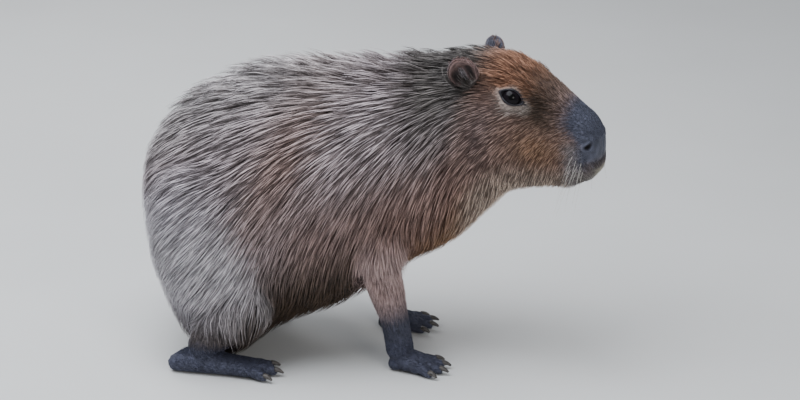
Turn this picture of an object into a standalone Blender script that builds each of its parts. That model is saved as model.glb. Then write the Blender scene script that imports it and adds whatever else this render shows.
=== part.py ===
"""A capybara sitting on its haunches, life size, as a still museum model.

Metres, +Z up, nose towards +X, standing on z = 0 with the middle of its box over the origin.
The trunk, from rump to nose, is one loft of superellipse sections, parted by thin plane cuts.
Legs are tapered tubes sunk in sockets of the trunk, and the coat is flat, tapered locks that
are rooted in the trunk and lie back along it.
"""

import math

import bmesh
import bpy
import numpy as np
from mathutils import Matrix, Vector
from mathutils.bvhtree import BVHTree

# Clearances
GAP = 0.0004
LOCK_GAP = 0.0006
FLOOR = 0.0

# Middle of the finished box in the numbers below, moved over the origin at the end
MIDDLE = (0.0, 0.0013, 0.0)

# Trunk sections: along, top, bottom, half width, squareness, how much wider low down, coat depth
SECTIONS = np.array(
    [
        (-0.390, 0.285, 0.285, 0.000, 2.2, 0.00, 0.022),
        (-0.383, 0.340, 0.205, 0.058, 2.2, 0.05, 0.022),
        (-0.357, 0.387, 0.110, 0.104, 2.2, 0.10, 0.022),
        (-0.308, 0.436, 0.016, 0.138, 2.3, 0.15, 0.022),
        (-0.240, 0.478, -0.016, 0.156, 2.3, 0.18, 0.023),
        (-0.150, 0.504, 0.050, 0.161, 2.3, 0.18, 0.024),
        (-0.060, 0.510, 0.085, 0.155, 2.3, 0.16, 0.025),
        (0.010, 0.514, 0.122, 0.140, 2.3, 0.12, 0.025),
        (0.070, 0.524, 0.165, 0.124, 2.3, 0.08, 0.024),
        (0.120, 0.532, 0.188, 0.110, 2.3, 0.05, 0.022),
        (0.160, 0.536, 0.220, 0.100, 2.4, 0.05, 0.015),
        (0.195, 0.534, 0.270, 0.092, 2.6, 0.08, 0.006),
        (0.228, 0.527, 0.312, 0.084, 2.8, 0.08, 0.002),
        (0.262, 0.512, 0.326, 0.076, 2.9, 0.06, 0.000),
        (0.300, 0.490, 0.330, 0.065, 2.9, 0.04, 0.000),
        (0.335, 0.466, 0.328, 0.056, 2.9, 0.00, 0.000),
        (0.363, 0.446, 0.334, 0.050, 2.9, 0.00, 0.000),
        (0.378, 0.429, 0.346, 0.041, 2.8, 0.00, 0.000),
        (0.3865, 0.412, 0.363, 0.026, 2.6, 0.00, 0.000),
        (0.3905, 0.391, 0.391, 0.000, 2.4, 0.00, 0.000),
    ]
)
LAST = len(SECTIONS) - 1
CORE_SHARE = 0.5
HEAD_TURN = math.radians(15)
TURN_FROM, TURN_TO = 0.09, 0.20

# Seams: a point along the trunk at mid height, and how far the seam leans forward low down
SEAMS = {"head": (0.166, 0.036), "neck": (0.060, 0.040), "torso": (-0.170, 0.010)}
SEAM_HEIGHT, SEAM_REACH = 0.36, 0.17

# Face
EYE_AT, EYE_ANGLE, EYE_RADIUS, EYE_SUNK = 0.2535, 148.0, 0.0175, 0.0112
LID_RADIUS, LID_THICK = 0.0165, 0.0030
LID_CORNER, LID_HEIGHT, LID_OUTSET, LID_LOWEST = 0.10, 0.80, 0.0012, -0.0015
UPPER_LID, LOWER_LID = 1.15, 0.9
NOSTRIL_AT, NOSTRIL_ANGLE = 0.377, 167.0
NOSTRIL_SIZE, NOSTRIL_SLANT = (0.0090, 0.0038, 0.0060), 35.0
MOUTH_Z, MOUTH_BACK, MOUTH_FRONT, MOUTH_OPEN = 0.3605, 0.338, 0.392, 0.0016
MOUTH_DROP, MOUTH_DEPTH, MOUTH_HALF = 0.010, 0.006, 0.07
OPEN_IN_FRONT, OPEN_AT_CORNERS = 1.25, 0.45
LIP_FRONT, LIP_RISE, LIP_RADIUS = 0.3830, 0.0058, 0.0048
LOWER_LIP, LIP_SUNK, LIP_TAPER, LIPS_MEET = 0.9, 0.35, 0.55, 0.35

# Ears
EAR_AT, EAR_ANGLE, EAR_BACK = 0.181, 137.0, math.radians(-16)
EAR_STAND = {"right": 0.85, "left": 0.38}
EAR_OUT = {"right": math.radians(28), "left": math.radians(38)}
EAR_TURN = {"right": math.radians(20), "left": math.radians(46)}
EAR_SIZE = (0.0235, 0.0125, 0.0300)
EAR_WALL = 0.0032
EAR_HOLLOW_AT, EAR_HOLLOW_WIDE = (0.003, 0.85, 0.002), 1.15

# Legs: rows of x, side, z, radius fore and aft, radius sideways
FORELEG = np.array(
    [
        (0.034, 0.074, 0.300, 0.044, 0.026),
        (0.022, 0.084, 0.245, 0.044, 0.032),
        (0.018, 0.094, 0.190, 0.0365, 0.032),
        (0.032, 0.095, 0.133, 0.0295, 0.026),
        (0.042, 0.094, 0.094, 0.0240, 0.0225),
        (0.0480, 0.092, 0.062, 0.0235, 0.0225),
        (0.0520, 0.091, 0.034, 0.0240, 0.0240),
    ]
)
FORE_STAGGER = {"right": 0.0, "left": -0.034}
THIGH_CENTRE, THIGH_SIZE = (-0.256, 0.102, 0.208), (0.098, 0.070, 0.148)
THIGH_LEAN = math.radians(-20)
SHANK = np.array(
    [
        (-0.195, 0.138, 0.128, 0.040, 0.032),
        (-0.235, 0.138, 0.085, 0.036, 0.030),
        (-0.275, 0.134, 0.048, 0.027, 0.025),
    ]
)
HIND_STAGGER = {"right": 0.0, "left": -0.012}

# Feet: palm and heel rows like the legs, then toes as splay angle, length and radius
FORE_PALM = np.array(
    [
        (0.048, 0.091, 0.012, 0.0135, 0.019),
        (0.060, 0.091, 0.017, 0.0185, 0.027),
        (0.088, 0.093, 0.0125, 0.0135, 0.029),
    ]
)
FORE_TOES = ((-27, 0.040, 0.0082), (-8, 0.050, 0.0090), (9, 0.050, 0.0090), (28, 0.038, 0.0080))
HIND_PALM = np.array(
    [
        (-0.318, 0.128, 0.014, 0.0155, 0.017),
        (-0.290, 0.130, 0.020, 0.0215, 0.021),
        (-0.235, 0.134, 0.016, 0.0175, 0.024),
        (-0.192, 0.137, 0.0125, 0.0135, 0.030),
    ]
)
HIND_TOES = ((-20, 0.048, 0.0092), (0, 0.056, 0.0100), (20, 0.046, 0.0092))
FOOT_TURN = math.radians(6)
TOE_ROOT, TOE_SPREAD, TOE_TAPER = 0.012, 1.35, 0.22
TOE_HEIGHT, TOE_ARCH, TOE_SUNK = 1.05, 0.55, 0.001
WRIST_Z, HEEL_Z = 0.046, 0.044
CLAW_LENGTH, CLAW_RADIUS = 0.015, 0.0056
CLAW_SUNK, CLAW_RISE, CLAW_DROP, CLAW_TAPER = 0.004, 0.0035, 1.6, 0.62

# Coat
LOCK_SPACING, LOCK_LENGTH, LOCK_WIDTH, LOCK_THICK = 0.064, 0.122, 0.052, 0.0058
LOCK_SUNK, STRAY = 0.0070, 0.0008
LOCK_WIDE_AT = (0.55, 1.0, 0.70)
LOCK_RISE = (-0.05, 0.62, 1.0)
LOWEST_LOCK, HIGHEST_LIFT, LEAST_LIFT = 0.004, 1.1, 0.004
CREST_LIFT, CREST_FROM = 0.010, 0.6
# How far down the flank, from the spine to the belly, and the slope in degrees at which the coat lies
LIE_FALL, LIE_SLOPE = (0, 0.1, 0.3, 0.55, 0.8, 1), (0, 8, 28, 56, 74, 80)
SIZES = (0.85, 1.0, 1.15)
LOCKS_ABOVE = {"trunk": 0.050, "leg": 0.190}
ROOT_SEED, STRAY_SEED = 5, 12
SCATTER_LOW, SCATTER_HIGH, SCATTER_TRIES = (-0.42, -0.18, 0.0), (0.30, 0.18, 0.56), 9000


# Trunk surface


def smooth_rows(table, t):
    """The table's row at each t, by a Catmull-Rom curve through its rows."""
    t = np.clip(np.asarray(t, float), 0, len(table) - 1 - 1e-9)
    i = np.floor(t).astype(int)
    f = (t - i)[..., None]
    p0, p1 = table[np.maximum(i - 1, 0)], table[i]
    p2, p3 = table[np.minimum(i + 1, len(table) - 1)], table[np.minimum(i + 2, len(table) - 1)]
    return 0.5 * (
        2 * p1 + (p2 - p0) * f + (2 * p0 - 5 * p1 + 4 * p2 - p3) * f**2 + (3 * p1 - p0 - 3 * p2 + p3) * f**3
    )


def centreline(along):
    """x, y and heading at a distance along the trunk, whose neck turns the head to its right."""
    grid = np.linspace(-0.45, 0.45, 1801)
    share = np.clip((grid - TURN_FROM) / (TURN_TO - TURN_FROM), 0, 1)
    heading = HEAD_TURN * share * share * (3 - 2 * share)
    step = grid[1] - grid[0]
    x, y = np.cumsum(np.cos(heading)) * step, np.cumsum(-np.sin(heading)) * step
    middle = len(grid) // 2
    return (
        np.interp(along, grid, x - x[middle]),
        np.interp(along, grid, y - y[middle]),
        np.interp(along, grid, heading),
    )


def outer_trunk(t, angle):
    """Point of the coat's outer surface: a superellipse section, wider low down, on the centreline."""
    row = smooth_rows(SECTIONS, t)
    along, top, bottom, half, square, sag = [row[..., k] for k in range(6)]
    c, s = np.cos(angle), np.sin(angle)
    power = 2 / square
    side = half * np.sign(c) * np.abs(c) ** power * (1 - sag * s)
    up = (top + bottom) / 2 + (top - bottom) / 2 * np.sign(s) * np.abs(s) ** power
    x, y, heading = centreline(along)
    return np.stack([x + np.sin(heading) * side, y + np.cos(heading) * side, up], -1)


def trunk_normal(t, angle):
    """Outward unit normal of the outer surface, from its two slopes."""
    step = 0.02
    t = np.clip(t, 0.08, LAST - 0.08)
    along = outer_trunk(t + step, angle) - outer_trunk(t - step, angle)
    around = outer_trunk(t, angle + step) - outer_trunk(t, angle - step)
    normal = np.cross(around, along)
    return normal / np.linalg.norm(normal, axis=-1, keepdims=True)


def trunk(t, angle, share=CORE_SHARE):
    """Point that lies a share of the coat's depth inside the outer surface."""
    depth = smooth_rows(SECTIONS, t)[..., 6:7] * share
    return outer_trunk(t, angle) - trunk_normal(t, angle) * depth


def station(along):
    """The t whose section lies that far along the trunk."""
    t = np.linspace(0, LAST, 2000)
    return float(np.interp(along, smooth_rows(SECTIONS, t)[:, 0], t))


def head_frame(along, angle_degrees, side):
    """Matrix at a place on the head: z outwards, x forward along the surface."""
    angle = math.radians(angle_degrees if side == "right" else 180 - angle_degrees)
    t = station(along)
    at = Vector(trunk(t, angle))
    out = Vector(trunk_normal(t, angle))
    ahead = Vector(trunk(t + 0.05, angle)) - at
    ahead = (ahead - out * ahead.dot(out)).normalized()
    turn = Matrix((ahead, out.cross(ahead), out)).transposed().to_4x4()
    return Matrix.Translation(at) @ turn


# Mesh tools


def material(name, colour, roughness):
    made = bpy.data.materials.new(name)
    made.use_nodes = True
    shader = made.node_tree.nodes["Principled BSDF"]
    shader.inputs["Base Color"].default_value = (*colour, 1)
    shader.inputs["Roughness"].default_value = roughness
    return made


def new_object(name, mesh, collection):
    made = bpy.data.objects.new(name, mesh)
    collection.objects.link(made)
    return made


def loft(name, rings, collection, ends=(True, True)):
    """Closed mesh through rings of points; an end marked False is already a point."""
    count, around = rings.shape[:2]
    vertices = [Vector(p) for ring in rings for p in ring]
    faces = []
    for i in range(count - 1):
        for j in range(around):
            k = (j + 1) % around
            near, far = i * around, (i + 1) * around
            faces += [(near + j, near + k, far + k), (near + j, far + k, far + j)]
    for end, ring in zip(ends, (0, count - 1)):
        if end:
            faces.append(tuple(ring * around + j for j in range(around)))
    mesh = bpy.data.meshes.new(name)
    mesh.from_pydata(vertices, [], faces)
    shape = bmesh.new()
    shape.from_mesh(mesh)
    bmesh.ops.remove_doubles(shape, verts=shape.verts, dist=1e-6)
    bmesh.ops.recalc_face_normals(shape, faces=shape.faces)
    if shape.calc_volume(signed=True) < 0:
        bmesh.ops.reverse_faces(shape, faces=shape.faces)
    shape.to_mesh(mesh)
    shape.free()
    return new_object(name, mesh, collection)


def ellipsoid(name, centre, size, collection, turn=None, segments=24):
    """Scaled and turned UV sphere."""
    mesh = bpy.data.meshes.new(name)
    shape = bmesh.new()
    bmesh.ops.create_uvsphere(shape, u_segments=segments, v_segments=segments // 2, radius=1)
    place = Matrix.Translation(centre) @ (turn or Matrix.Identity(4)) @ Matrix.Diagonal((*size, 1))
    bmesh.ops.transform(shape, matrix=place, verts=shape.verts)
    shape.to_mesh(mesh)
    shape.free()
    return new_object(name, mesh, collection)


def limb_rings(rows, side, shift, grow=0.0, count=10, around=16):
    """Elliptical rings square to the path through the rows, with rounded ends."""
    signed = rows.copy()
    signed[:, 0] += shift
    signed[:, 1] *= -1 if side == "right" else 1
    t = np.linspace(0, len(rows) - 1, count)
    row = smooth_rows(signed, t)
    path, fore, across = row[:, :3], row[:, 3] + grow, row[:, 4] + grow
    run = np.gradient(path, axis=0)
    run /= np.linalg.norm(run, axis=1, keepdims=True)
    wide = np.cross(run, np.array([1.0, 0, 0]) + 0 * run)
    flat = np.abs(run[:, 0]) > 0.8
    wide[flat] = np.cross(run[flat], np.array([0, 0, 1.0]))
    wide /= np.linalg.norm(wide, axis=1, keepdims=True)
    deep = np.cross(wide, run)
    angle = np.linspace(0, 2 * math.pi, around, endpoint=False)

    def ring(at, scale, k):
        return (
            at
            + np.cos(angle)[:, None] * wide[k] * across[k] * scale
            + np.sin(angle)[:, None] * deep[k] * fore[k] * scale
        )

    rings = [ring(path[k], 1, k) for k in range(count)]
    first = [ring(path[0] - run[0] * across[0] * b, s, 0) for b, s in ((0.8, 0.45), (0.5, 0.8))]
    last = [ring(path[-1] + run[-1] * across[-1] * b, s, -1) for b, s in ((0.5, 0.8), (0.8, 0.45))]
    return np.array(first + rings + last)


def join(base, others, operation="UNION", solver="MANIFOLD"):
    """Applies one Boolean of the other objects on the base, and removes them.

    MANIFOLD is quick and keeps hundreds of crossing locks closed. The thigh and the guide meet
    in long smooth curves, for which EXACT gives the cleaner edge.
    """
    if not others:
        return base
    group = bpy.data.collections.new("boolean_pieces")
    for other in others:
        triangulate(other)
        group.objects.link(other)
    triangulate(base)
    cut = base.modifiers.new("boolean", "BOOLEAN")
    cut.operand_type, cut.collection = "COLLECTION", group
    cut.operation, cut.solver = operation, solver
    apply_modifiers(base)
    for other in others:
        bpy.data.objects.remove(other)
    bpy.data.collections.remove(group)
    return base


def triangulate(obj):
    """Cuts every face into triangles, so that both sides of a Boolean are flat."""
    shape = bmesh.new()
    shape.from_mesh(obj.data)
    bmesh.ops.triangulate(shape, faces=shape.faces)
    shape.to_mesh(obj.data)
    shape.free()


def apply_modifiers(obj):
    graph = bpy.context.evaluated_depsgraph_get()
    mesh = bpy.data.meshes.new_from_object(obj.evaluated_get(graph))
    obj.modifiers.clear()
    obj.data = mesh


def duplicate(obj, name, collection):
    return new_object(name, obj.data.copy(), collection)


def cut_by_plane(obj, point, normal):
    """Keeps the side of the plane that its normal points away from, and closes the cut."""
    shape = bmesh.new()
    shape.from_mesh(obj.data)
    geometry = shape.verts[:] + shape.edges[:] + shape.faces[:]
    cut = bmesh.ops.bisect_plane(
        shape, geom=geometry, dist=1e-7, plane_co=point, plane_no=normal, clear_outer=True
    )
    edges = [e for e in cut["geom_cut"] if isinstance(e, bmesh.types.BMEdge)]
    if edges:
        bmesh.ops.holes_fill(shape, edges=edges, sides=0)
    shape.to_mesh(obj.data)
    shape.free()
    return obj


def keep_largest(obj):
    """Drops every closed surface but the one of most volume."""
    shape = bmesh.new()
    shape.from_mesh(obj.data)
    left, bodies = set(shape.faces), []
    while left:
        body, front = set(), [left.pop()]
        while front:
            face = front.pop()
            body.add(face)
            near = {f for e in face.edges for f in e.link_faces} & left
            left -= near
            front.extend(near)
        bodies.append(body)

    def volume(body):
        return abs(sum(f.calc_center_median().dot(f.normal) * f.calc_area() for f in body))

    best = max(bodies, key=volume)
    drop = [f for body in bodies if body is not best for f in body]
    bmesh.ops.delete(shape, geom=drop, context="FACES")
    shape.to_mesh(obj.data)
    shape.free()
    return obj


def seam_plane(name, nudge=0.0):
    """Point and forward normal of a seam between two stretches of the trunk."""
    along, lean = SEAMS[name]
    x, y, heading = centreline(along)
    ahead = Vector((math.cos(heading), -math.sin(heading), 0))
    slope = Vector((0, 0, SEAM_REACH)) - ahead * lean
    across = Vector((math.sin(heading), math.cos(heading), 0))
    normal = across.cross(slope).normalized()
    if normal.dot(ahead) < 0:
        normal.negate()
    return Vector((float(x), float(y), SEAM_HEIGHT)) + normal * nudge, normal


def ahead_of(name, point):
    at, normal = seam_plane(name)
    return (Vector(point) - at).dot(normal)


# Trunk stretches

TRUNK_RINGS = np.concatenate([np.linspace(0, 10, 19)[:-1], np.linspace(10, LAST, 20)])
TRUNK_AROUND = 28


def whole_trunk(name, collection, grow=0.0):
    t = TRUNK_RINGS[:, None]
    angle = np.linspace(0, 2 * math.pi, TRUNK_AROUND, endpoint=False)[None]
    rings = trunk(t + 0 * angle, angle + 0 * t) + trunk_normal(t + 0 * angle, angle + 0 * t) * grow
    for end in (0, -1):
        rings[end] = rings[end].mean(axis=0)
    return loft(name, rings, collection, ends=(False, False))


def trunk_stretch(name, front, back, collection):
    """The trunk between two seams."""
    made = whole_trunk(name, collection)
    if front:
        point, normal = seam_plane(front, -GAP / 2)
        cut_by_plane(made, point, normal)
    if back:
        point, normal = seam_plane(back, GAP / 2)
        cut_by_plane(made, point, -normal)
    return made


# Legs and feet


def foreleg(name, side, collection, grow=0.0):
    rings = limb_rings(FORELEG, side, FORE_STAGGER[side], grow, count=10, around=14)
    return loft(name, rings, collection)


def hindleg(name, side, collection, grow=0.0):
    """Thigh and shank folded together, as one closed body."""
    sign = -1 if side == "right" else 1
    x, y, z = THIGH_CENTRE
    thigh = ellipsoid(
        name,
        (x + HIND_STAGGER[side], sign * y, z),
        [size + grow for size in THIGH_SIZE],
        collection,
        Matrix.Rotation(THIGH_LEAN, 4, "Y"),
        22,
    )
    shank = loft(name + "_shank", limb_rings(SHANK, side, HIND_STAGGER[side], grow, 6, 14), collection)
    return join(thigh, [shank], solver="EXACT")


def toe_rings(start, heading, length, radius):
    """A toe that arches up a little and comes down to its tip."""
    share = np.linspace(0, 1, 4)
    reach = share * length
    arch = TOE_ARCH * np.sin(math.pi * np.minimum(share * 1.25, 1)) * (1 - 0.35 * share)
    height = radius * (TOE_HEIGHT + arch) - TOE_SUNK
    path = np.stack([start[0] + np.cos(heading) * reach, start[1] + np.sin(heading) * reach, height], 1)
    return path, radius * (1 - TOE_TAPER * share)


def tube(name, path, radii, collection, around=7):
    """Round tube along a path, closed by its end rings."""
    run = np.gradient(path, axis=0)
    run /= np.linalg.norm(run, axis=1, keepdims=True)
    wide = np.cross(run, [0, 0, 1.0])
    wide /= np.linalg.norm(wide, axis=1, keepdims=True)
    up = np.cross(wide, run)
    angle = np.linspace(0, 2 * math.pi, around, endpoint=False)[None, :, None]
    rings = path[:, None] + radii[:, None, None] * (np.cos(angle) * wide[:, None] + np.sin(angle) * up[:, None])
    return loft(name, rings, collection)


def foot(name, rows, toes, side, shift, collection):
    """Palm and toes with their blunt claws, as one closed body with a flat sole."""
    sign = -1 if side == "right" else 1
    palm = loft(name, limb_rings(rows, side, shift, 0, 5, 10), collection)
    x, y = rows[-1][0] + shift, sign * rows[-1][1]
    pieces = []
    for number, (splay, length, radius) in enumerate(toes):
        heading = sign * (FOOT_TURN + math.radians(splay))
        start = (x - TOE_ROOT, y + sign * math.sin(math.radians(splay)) * rows[-1][4] * TOE_SPREAD)
        path, thick = toe_rings(start, heading, length, radius)
        pieces.append(tube(f"{name}_toe_{number}", path, thick, collection))
        tip = path[-1]
        ahead = np.array([math.cos(heading), math.sin(heading), 0])
        share = np.linspace(0, 1, 3)[:, None]
        nail = tip + ahead * (share * CLAW_LENGTH - CLAW_SUNK)
        nail[:, 2] += CLAW_RISE * (1 - CLAW_DROP * share[:, 0] ** 2)
        taper = CLAW_RADIUS * (1 - CLAW_TAPER * share[:, 0] ** 1.5)
        pieces.append(tube(f"{name}_claw_{number}", nail, taper, collection, 6))
    join(palm, pieces)
    return cut_by_plane(palm, (0, 0, FLOOR), (0, 0, -1))


# Face


def eye(name, side, collection, grow=0.0):
    place = head_frame(EYE_AT, EYE_ANGLE, side)
    centre = place @ Vector((0, 0, -EYE_SUNK))
    return ellipsoid(name, centre, [EYE_RADIUS + grow] * 3, collection, segments=14)


def lid(name, side, collection):
    """Almond-shaped rim round the eye, thicker above."""
    place = head_frame(EYE_AT, EYE_ANGLE, side)
    angle = np.linspace(0, 2 * math.pi, 16, endpoint=False)
    round_the_eye = []
    for a in angle:
        wide = LID_RADIUS * (1 + LID_CORNER * math.cos(a) ** 8) * math.cos(a)
        high = LID_RADIUS * LID_HEIGHT * math.sin(a)
        rise = math.sqrt(max(EYE_RADIUS**2 - wide**2 - high**2, 0)) - EYE_SUNK
        round_the_eye.append(Vector((wide, high, max(rise, LID_LOWEST))))
    mesh_rings = []
    for k, at in enumerate(round_the_eye):
        away = Vector((at.x, at.y, 0)).normalized()
        upper = math.sin(angle[k]) * (1 if side == "right" else -1) > 0
        thick = LID_THICK * (UPPER_LID if upper else LOWER_LID)
        ring = []
        for b in np.linspace(0, 2 * math.pi, 5, endpoint=False):
            local = at + away * (LID_OUTSET + thick * math.cos(b)) + Vector((0, 0, thick * math.sin(b)))
            ring.append(place @ local)
        mesh_rings.append(ring)
    mesh_rings.append(mesh_rings[0])
    return loft(name, np.array(mesh_rings), collection, ends=(False, False))


def nostril(name, side, collection):
    place = head_frame(NOSTRIL_AT, NOSTRIL_ANGLE, side)
    slant = math.radians(-NOSTRIL_SLANT if side == "right" else NOSTRIL_SLANT)
    turn = place.to_3x3().to_4x4() @ Matrix.Rotation(slant, 4, "Z")
    return ellipsoid(name, place.translation, NOSTRIL_SIZE, collection, turn, 16)


def mouth(name, collection):
    """Thin curved wedge that parts the lips, deeper at the front than at the corners."""
    rings = []
    for along in np.linspace(MOUTH_BACK, MOUTH_FRONT + 0.01, 9):
        x, y, heading = centreline(along)
        back = (MOUTH_FRONT - along) / (MOUTH_FRONT - MOUTH_BACK)
        z = MOUTH_Z - MOUTH_DROP * back**2
        across = Vector((math.sin(heading), math.cos(heading), 0)) * MOUTH_HALF
        at = Vector((float(x), float(y), z))
        rise = Vector((0, 0, MOUTH_OPEN * (OPEN_IN_FRONT + (OPEN_AT_CORNERS - OPEN_IN_FRONT) * back)))
        rings.append([at - across - rise, at + across - rise, at + across + rise, at - across + rise])
    wedge = loft(name, np.array(rings), collection)
    inner = whole_trunk(name + "_inside", collection, grow=-MOUTH_DEPTH)
    return join(wedge, [inner], "DIFFERENCE")


def lips(collection):
    """Two rolls round the front of the muzzle, above and below the line of the mouth."""
    rolls = []
    lower = LIP_RADIUS * LOWER_LIP
    for name, rise, radius in (("upper_lip", LIP_RISE, LIP_RADIUS), ("lower_lip", -LIP_RISE, lower)):
        path, radii = [], []
        for turn in np.linspace(-1, 1, 13):
            back = abs(turn) ** 1.5
            along = LIP_FRONT - back * (LIP_FRONT - MOUTH_BACK)
            z = MOUTH_Z - MOUTH_DROP * back**2 + rise * (1 - LIPS_MEET * back)
            t = station(along)
            angle = np.linspace(math.pi / 2, 3 * math.pi / 2, 400)
            ring = trunk(np.full(400, t), angle)
            angle = angle[int(np.argmin(np.abs(ring[:, 2] - z)))]
            angle = angle if turn < 0 else math.pi - angle
            at, out = trunk(np.array(t), np.array(angle)), trunk_normal(np.array(t), np.array(angle))
            path.append(at - out * radius * LIP_SUNK)
            radii.append(radius * (1 - LIP_TAPER * back))
        rolls.append(tube(name, np.array(path), np.array(radii), collection, 5))
    return rolls


def ear_frame(side):
    """The ear stands up and back from the head, open outwards, and the left one is laid lower."""
    sign = 1 if side == "right" else -1
    place = head_frame(EAR_AT, EAR_ANGLE, side)
    heading = float(centreline(EAR_AT)[2])
    turn = (
        Matrix.Rotation(-heading, 4, "Z")
        @ Matrix.Rotation(EAR_OUT[side] * sign, 4, "X")
        @ Matrix.Rotation(EAR_BACK, 4, "Y")
        @ Matrix.Rotation(EAR_TURN[side] * sign, 4, "Z")
    )
    centre = place.translation + turn @ Vector((0, 0, EAR_SIZE[2] * EAR_STAND[side]))
    return Matrix.Translation(centre) @ turn, -sign


def ear(name, side, collection, grow=0.0):
    """Rounded cup: an ellipsoid hollowed from its outer side."""
    place, out = ear_frame(side)
    size = [s + grow for s in EAR_SIZE]
    shell = ellipsoid(name, place.translation, size, collection, place.to_3x3().to_4x4(), 16)
    if grow:
        return shell
    inside = [EAR_SIZE[0] - EAR_WALL, EAR_SIZE[1] * EAR_HOLLOW_WIDE, EAR_SIZE[2] - EAR_WALL]
    ahead, outwards, up = EAR_HOLLOW_AT
    away = place @ Vector((ahead, out * EAR_SIZE[1] * outwards, up))
    hollow = ellipsoid(name + "_hollow", away, inside, collection, place.to_3x3().to_4x4(), 14)
    return join(shell, [hollow], "DIFFERENCE")


# Coat


def lie_of_coat(point, normal):
    """Unit direction in which the coat lies: back along the spine, and down on the flanks."""
    t = np.linspace(0, LAST, 400)
    rows = smooth_rows(SECTIONS, t)
    along = float(np.interp(point.x, centreline(rows[:, 0])[0], rows[:, 0]))
    row = smooth_rows(SECTIONS, station(along))
    fall = np.clip((row[1] - point.z) / max(row[1] - row[2], 0.05), 0, 1)
    slope = math.radians(np.interp(fall, LIE_FALL, LIE_SLOPE))
    heading = float(centreline(along)[2])
    back = Vector((-math.cos(heading), math.sin(heading), 0))
    lie = back * math.cos(slope) + Vector((0, 0, -math.sin(slope)))
    return (lie - normal * lie.dot(normal)).normalized()


def scattered(tree, rng, spacing):
    """Points at least the spacing apart all over the guide: random places, each moved onto it."""
    kept = np.empty((0, 3))
    for place in rng.uniform(SCATTER_LOW, SCATTER_HIGH, (SCATTER_TRIES, 3)):
        point = np.array(tree.find_nearest(Vector(place))[0])
        if not len(kept) or np.min(np.linalg.norm(kept - point, axis=1)) > spacing:
            kept = np.vstack([kept, point])
    return kept


def lock_path(tree, root, length, lift, rng):
    """Places and normals along a lock: it leaves the core, follows its lie and rises to the coat's edge."""
    place, normal = tree.find_nearest(root)[:2]
    path = []
    for k, rise in enumerate((-LOCK_SUNK, *(share * lift for share in LOCK_RISE))):
        if k:
            ahead = place + lie_of_coat(place, normal) * (length / 3)
            place, normal = tree.find_nearest(ahead)[:2]
        at = place + normal * rise + Vector(rng.uniform(-STRAY, STRAY, 3))
        at.z = max(at.z, FLOOR + LOWEST_LOCK + STRAY * rng.random())
        path.append((at, normal.copy()))
    return path


def lock_rings(path, width, thick, grow=0.0):
    """Flat tapered lock: four-sided rings, wide and thin, that narrow to a point."""
    rings = []
    for k in range(3):
        at, normal = path[k]
        ahead = (path[k + 1][0] - at).normalized()
        side = ahead.cross(normal).normalized()
        up = side.cross(ahead)
        half, deep = width / 2 * LOCK_WIDE_AT[k] + 3 * grow, thick / 2 + grow
        at = at - ahead * grow * (k == 0)
        rings.append([at + side * half, at + up * deep, at - side * half, at - up * deep])
    tip = path[3][0]
    rings.append([tip + (tip - path[2][0]).normalized() * grow * 4] * 4)
    return np.array(rings)


def owner_of(point, legs):
    """The node that carries a lock rooted here, or None on the head, where the fur is short."""
    for name, tree in legs.items():
        if tree.find_nearest(point)[3] < 1e-4:
            return name
    if ahead_of("head", point) > 0:
        return None
    if ahead_of("neck", point) > 0:
        return "neck"
    return "torso" if ahead_of("torso", point) > 0 else "rump"


def lay_locks(guide, legs, collection):
    """Rooted locks for each node, as their bodies and the slightly larger bodies that clear them."""
    tree = BVHTree.FromObject(guide, bpy.context.evaluated_depsgraph_get())
    trees = {}
    for name, leg in legs.items():
        trees[name] = BVHTree.FromObject(leg, bpy.context.evaluated_depsgraph_get())
    locks, clearings = {}, {}
    strays = {name: np.random.default_rng(STRAY_SEED) for name in ("neck", "torso", "rump", *legs)}
    for root in scattered(tree, np.random.default_rng(ROOT_SEED), LOCK_SPACING):
        owner = owner_of(root, trees)
        low = LOCKS_ABOVE["leg" if owner in legs else "trunk"]
        if owner is None or root[2] < low:
            continue
        rng = strays[owner]
        size = SIZES[rng.integers(len(SIZES))]
        crest = max(0.0, float(tree.find_nearest(Vector(root))[1].z) - CREST_FROM) / (1 - CREST_FROM)
        lift = coat_lift(root) * rng.uniform(0.85, HIGHEST_LIFT) + CREST_LIFT * crest * rng.random()
        path = lock_path(tree, Vector(root), LOCK_LENGTH * size, lift, rng)
        rings = lock_rings(path, LOCK_WIDTH * size, LOCK_THICK)
        front = {"neck": "head", "torso": "neck", "rump": "torso"}.get(owner)
        if front and max(ahead_of(front, corner) for corner in rings.reshape(-1, 3)) > -LOCK_GAP:
            continue
        made = loft(f"{owner}_lock", rings, collection, ends=(True, False))
        locks.setdefault(owner, []).append(made)
        rings = lock_rings(path, LOCK_WIDTH * size, LOCK_THICK, LOCK_GAP)
        made = loft(f"{owner}_clearing", rings, collection, ends=(True, False))
        clearings.setdefault(owner, []).append(made)
    return locks, clearings


def coat_lift(point):
    """How far a lock's tip stands off the core, from the depth of the coat there."""
    t = np.linspace(0, LAST, 200)
    rows = smooth_rows(SECTIONS, t)
    nearest = int(np.argmin(np.abs(centreline(rows[:, 0])[0] - point[0])))
    return max(LEAST_LIFT, rows[nearest, 6] * (1 - CORE_SHARE) - LOCK_THICK * 0.3)


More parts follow.
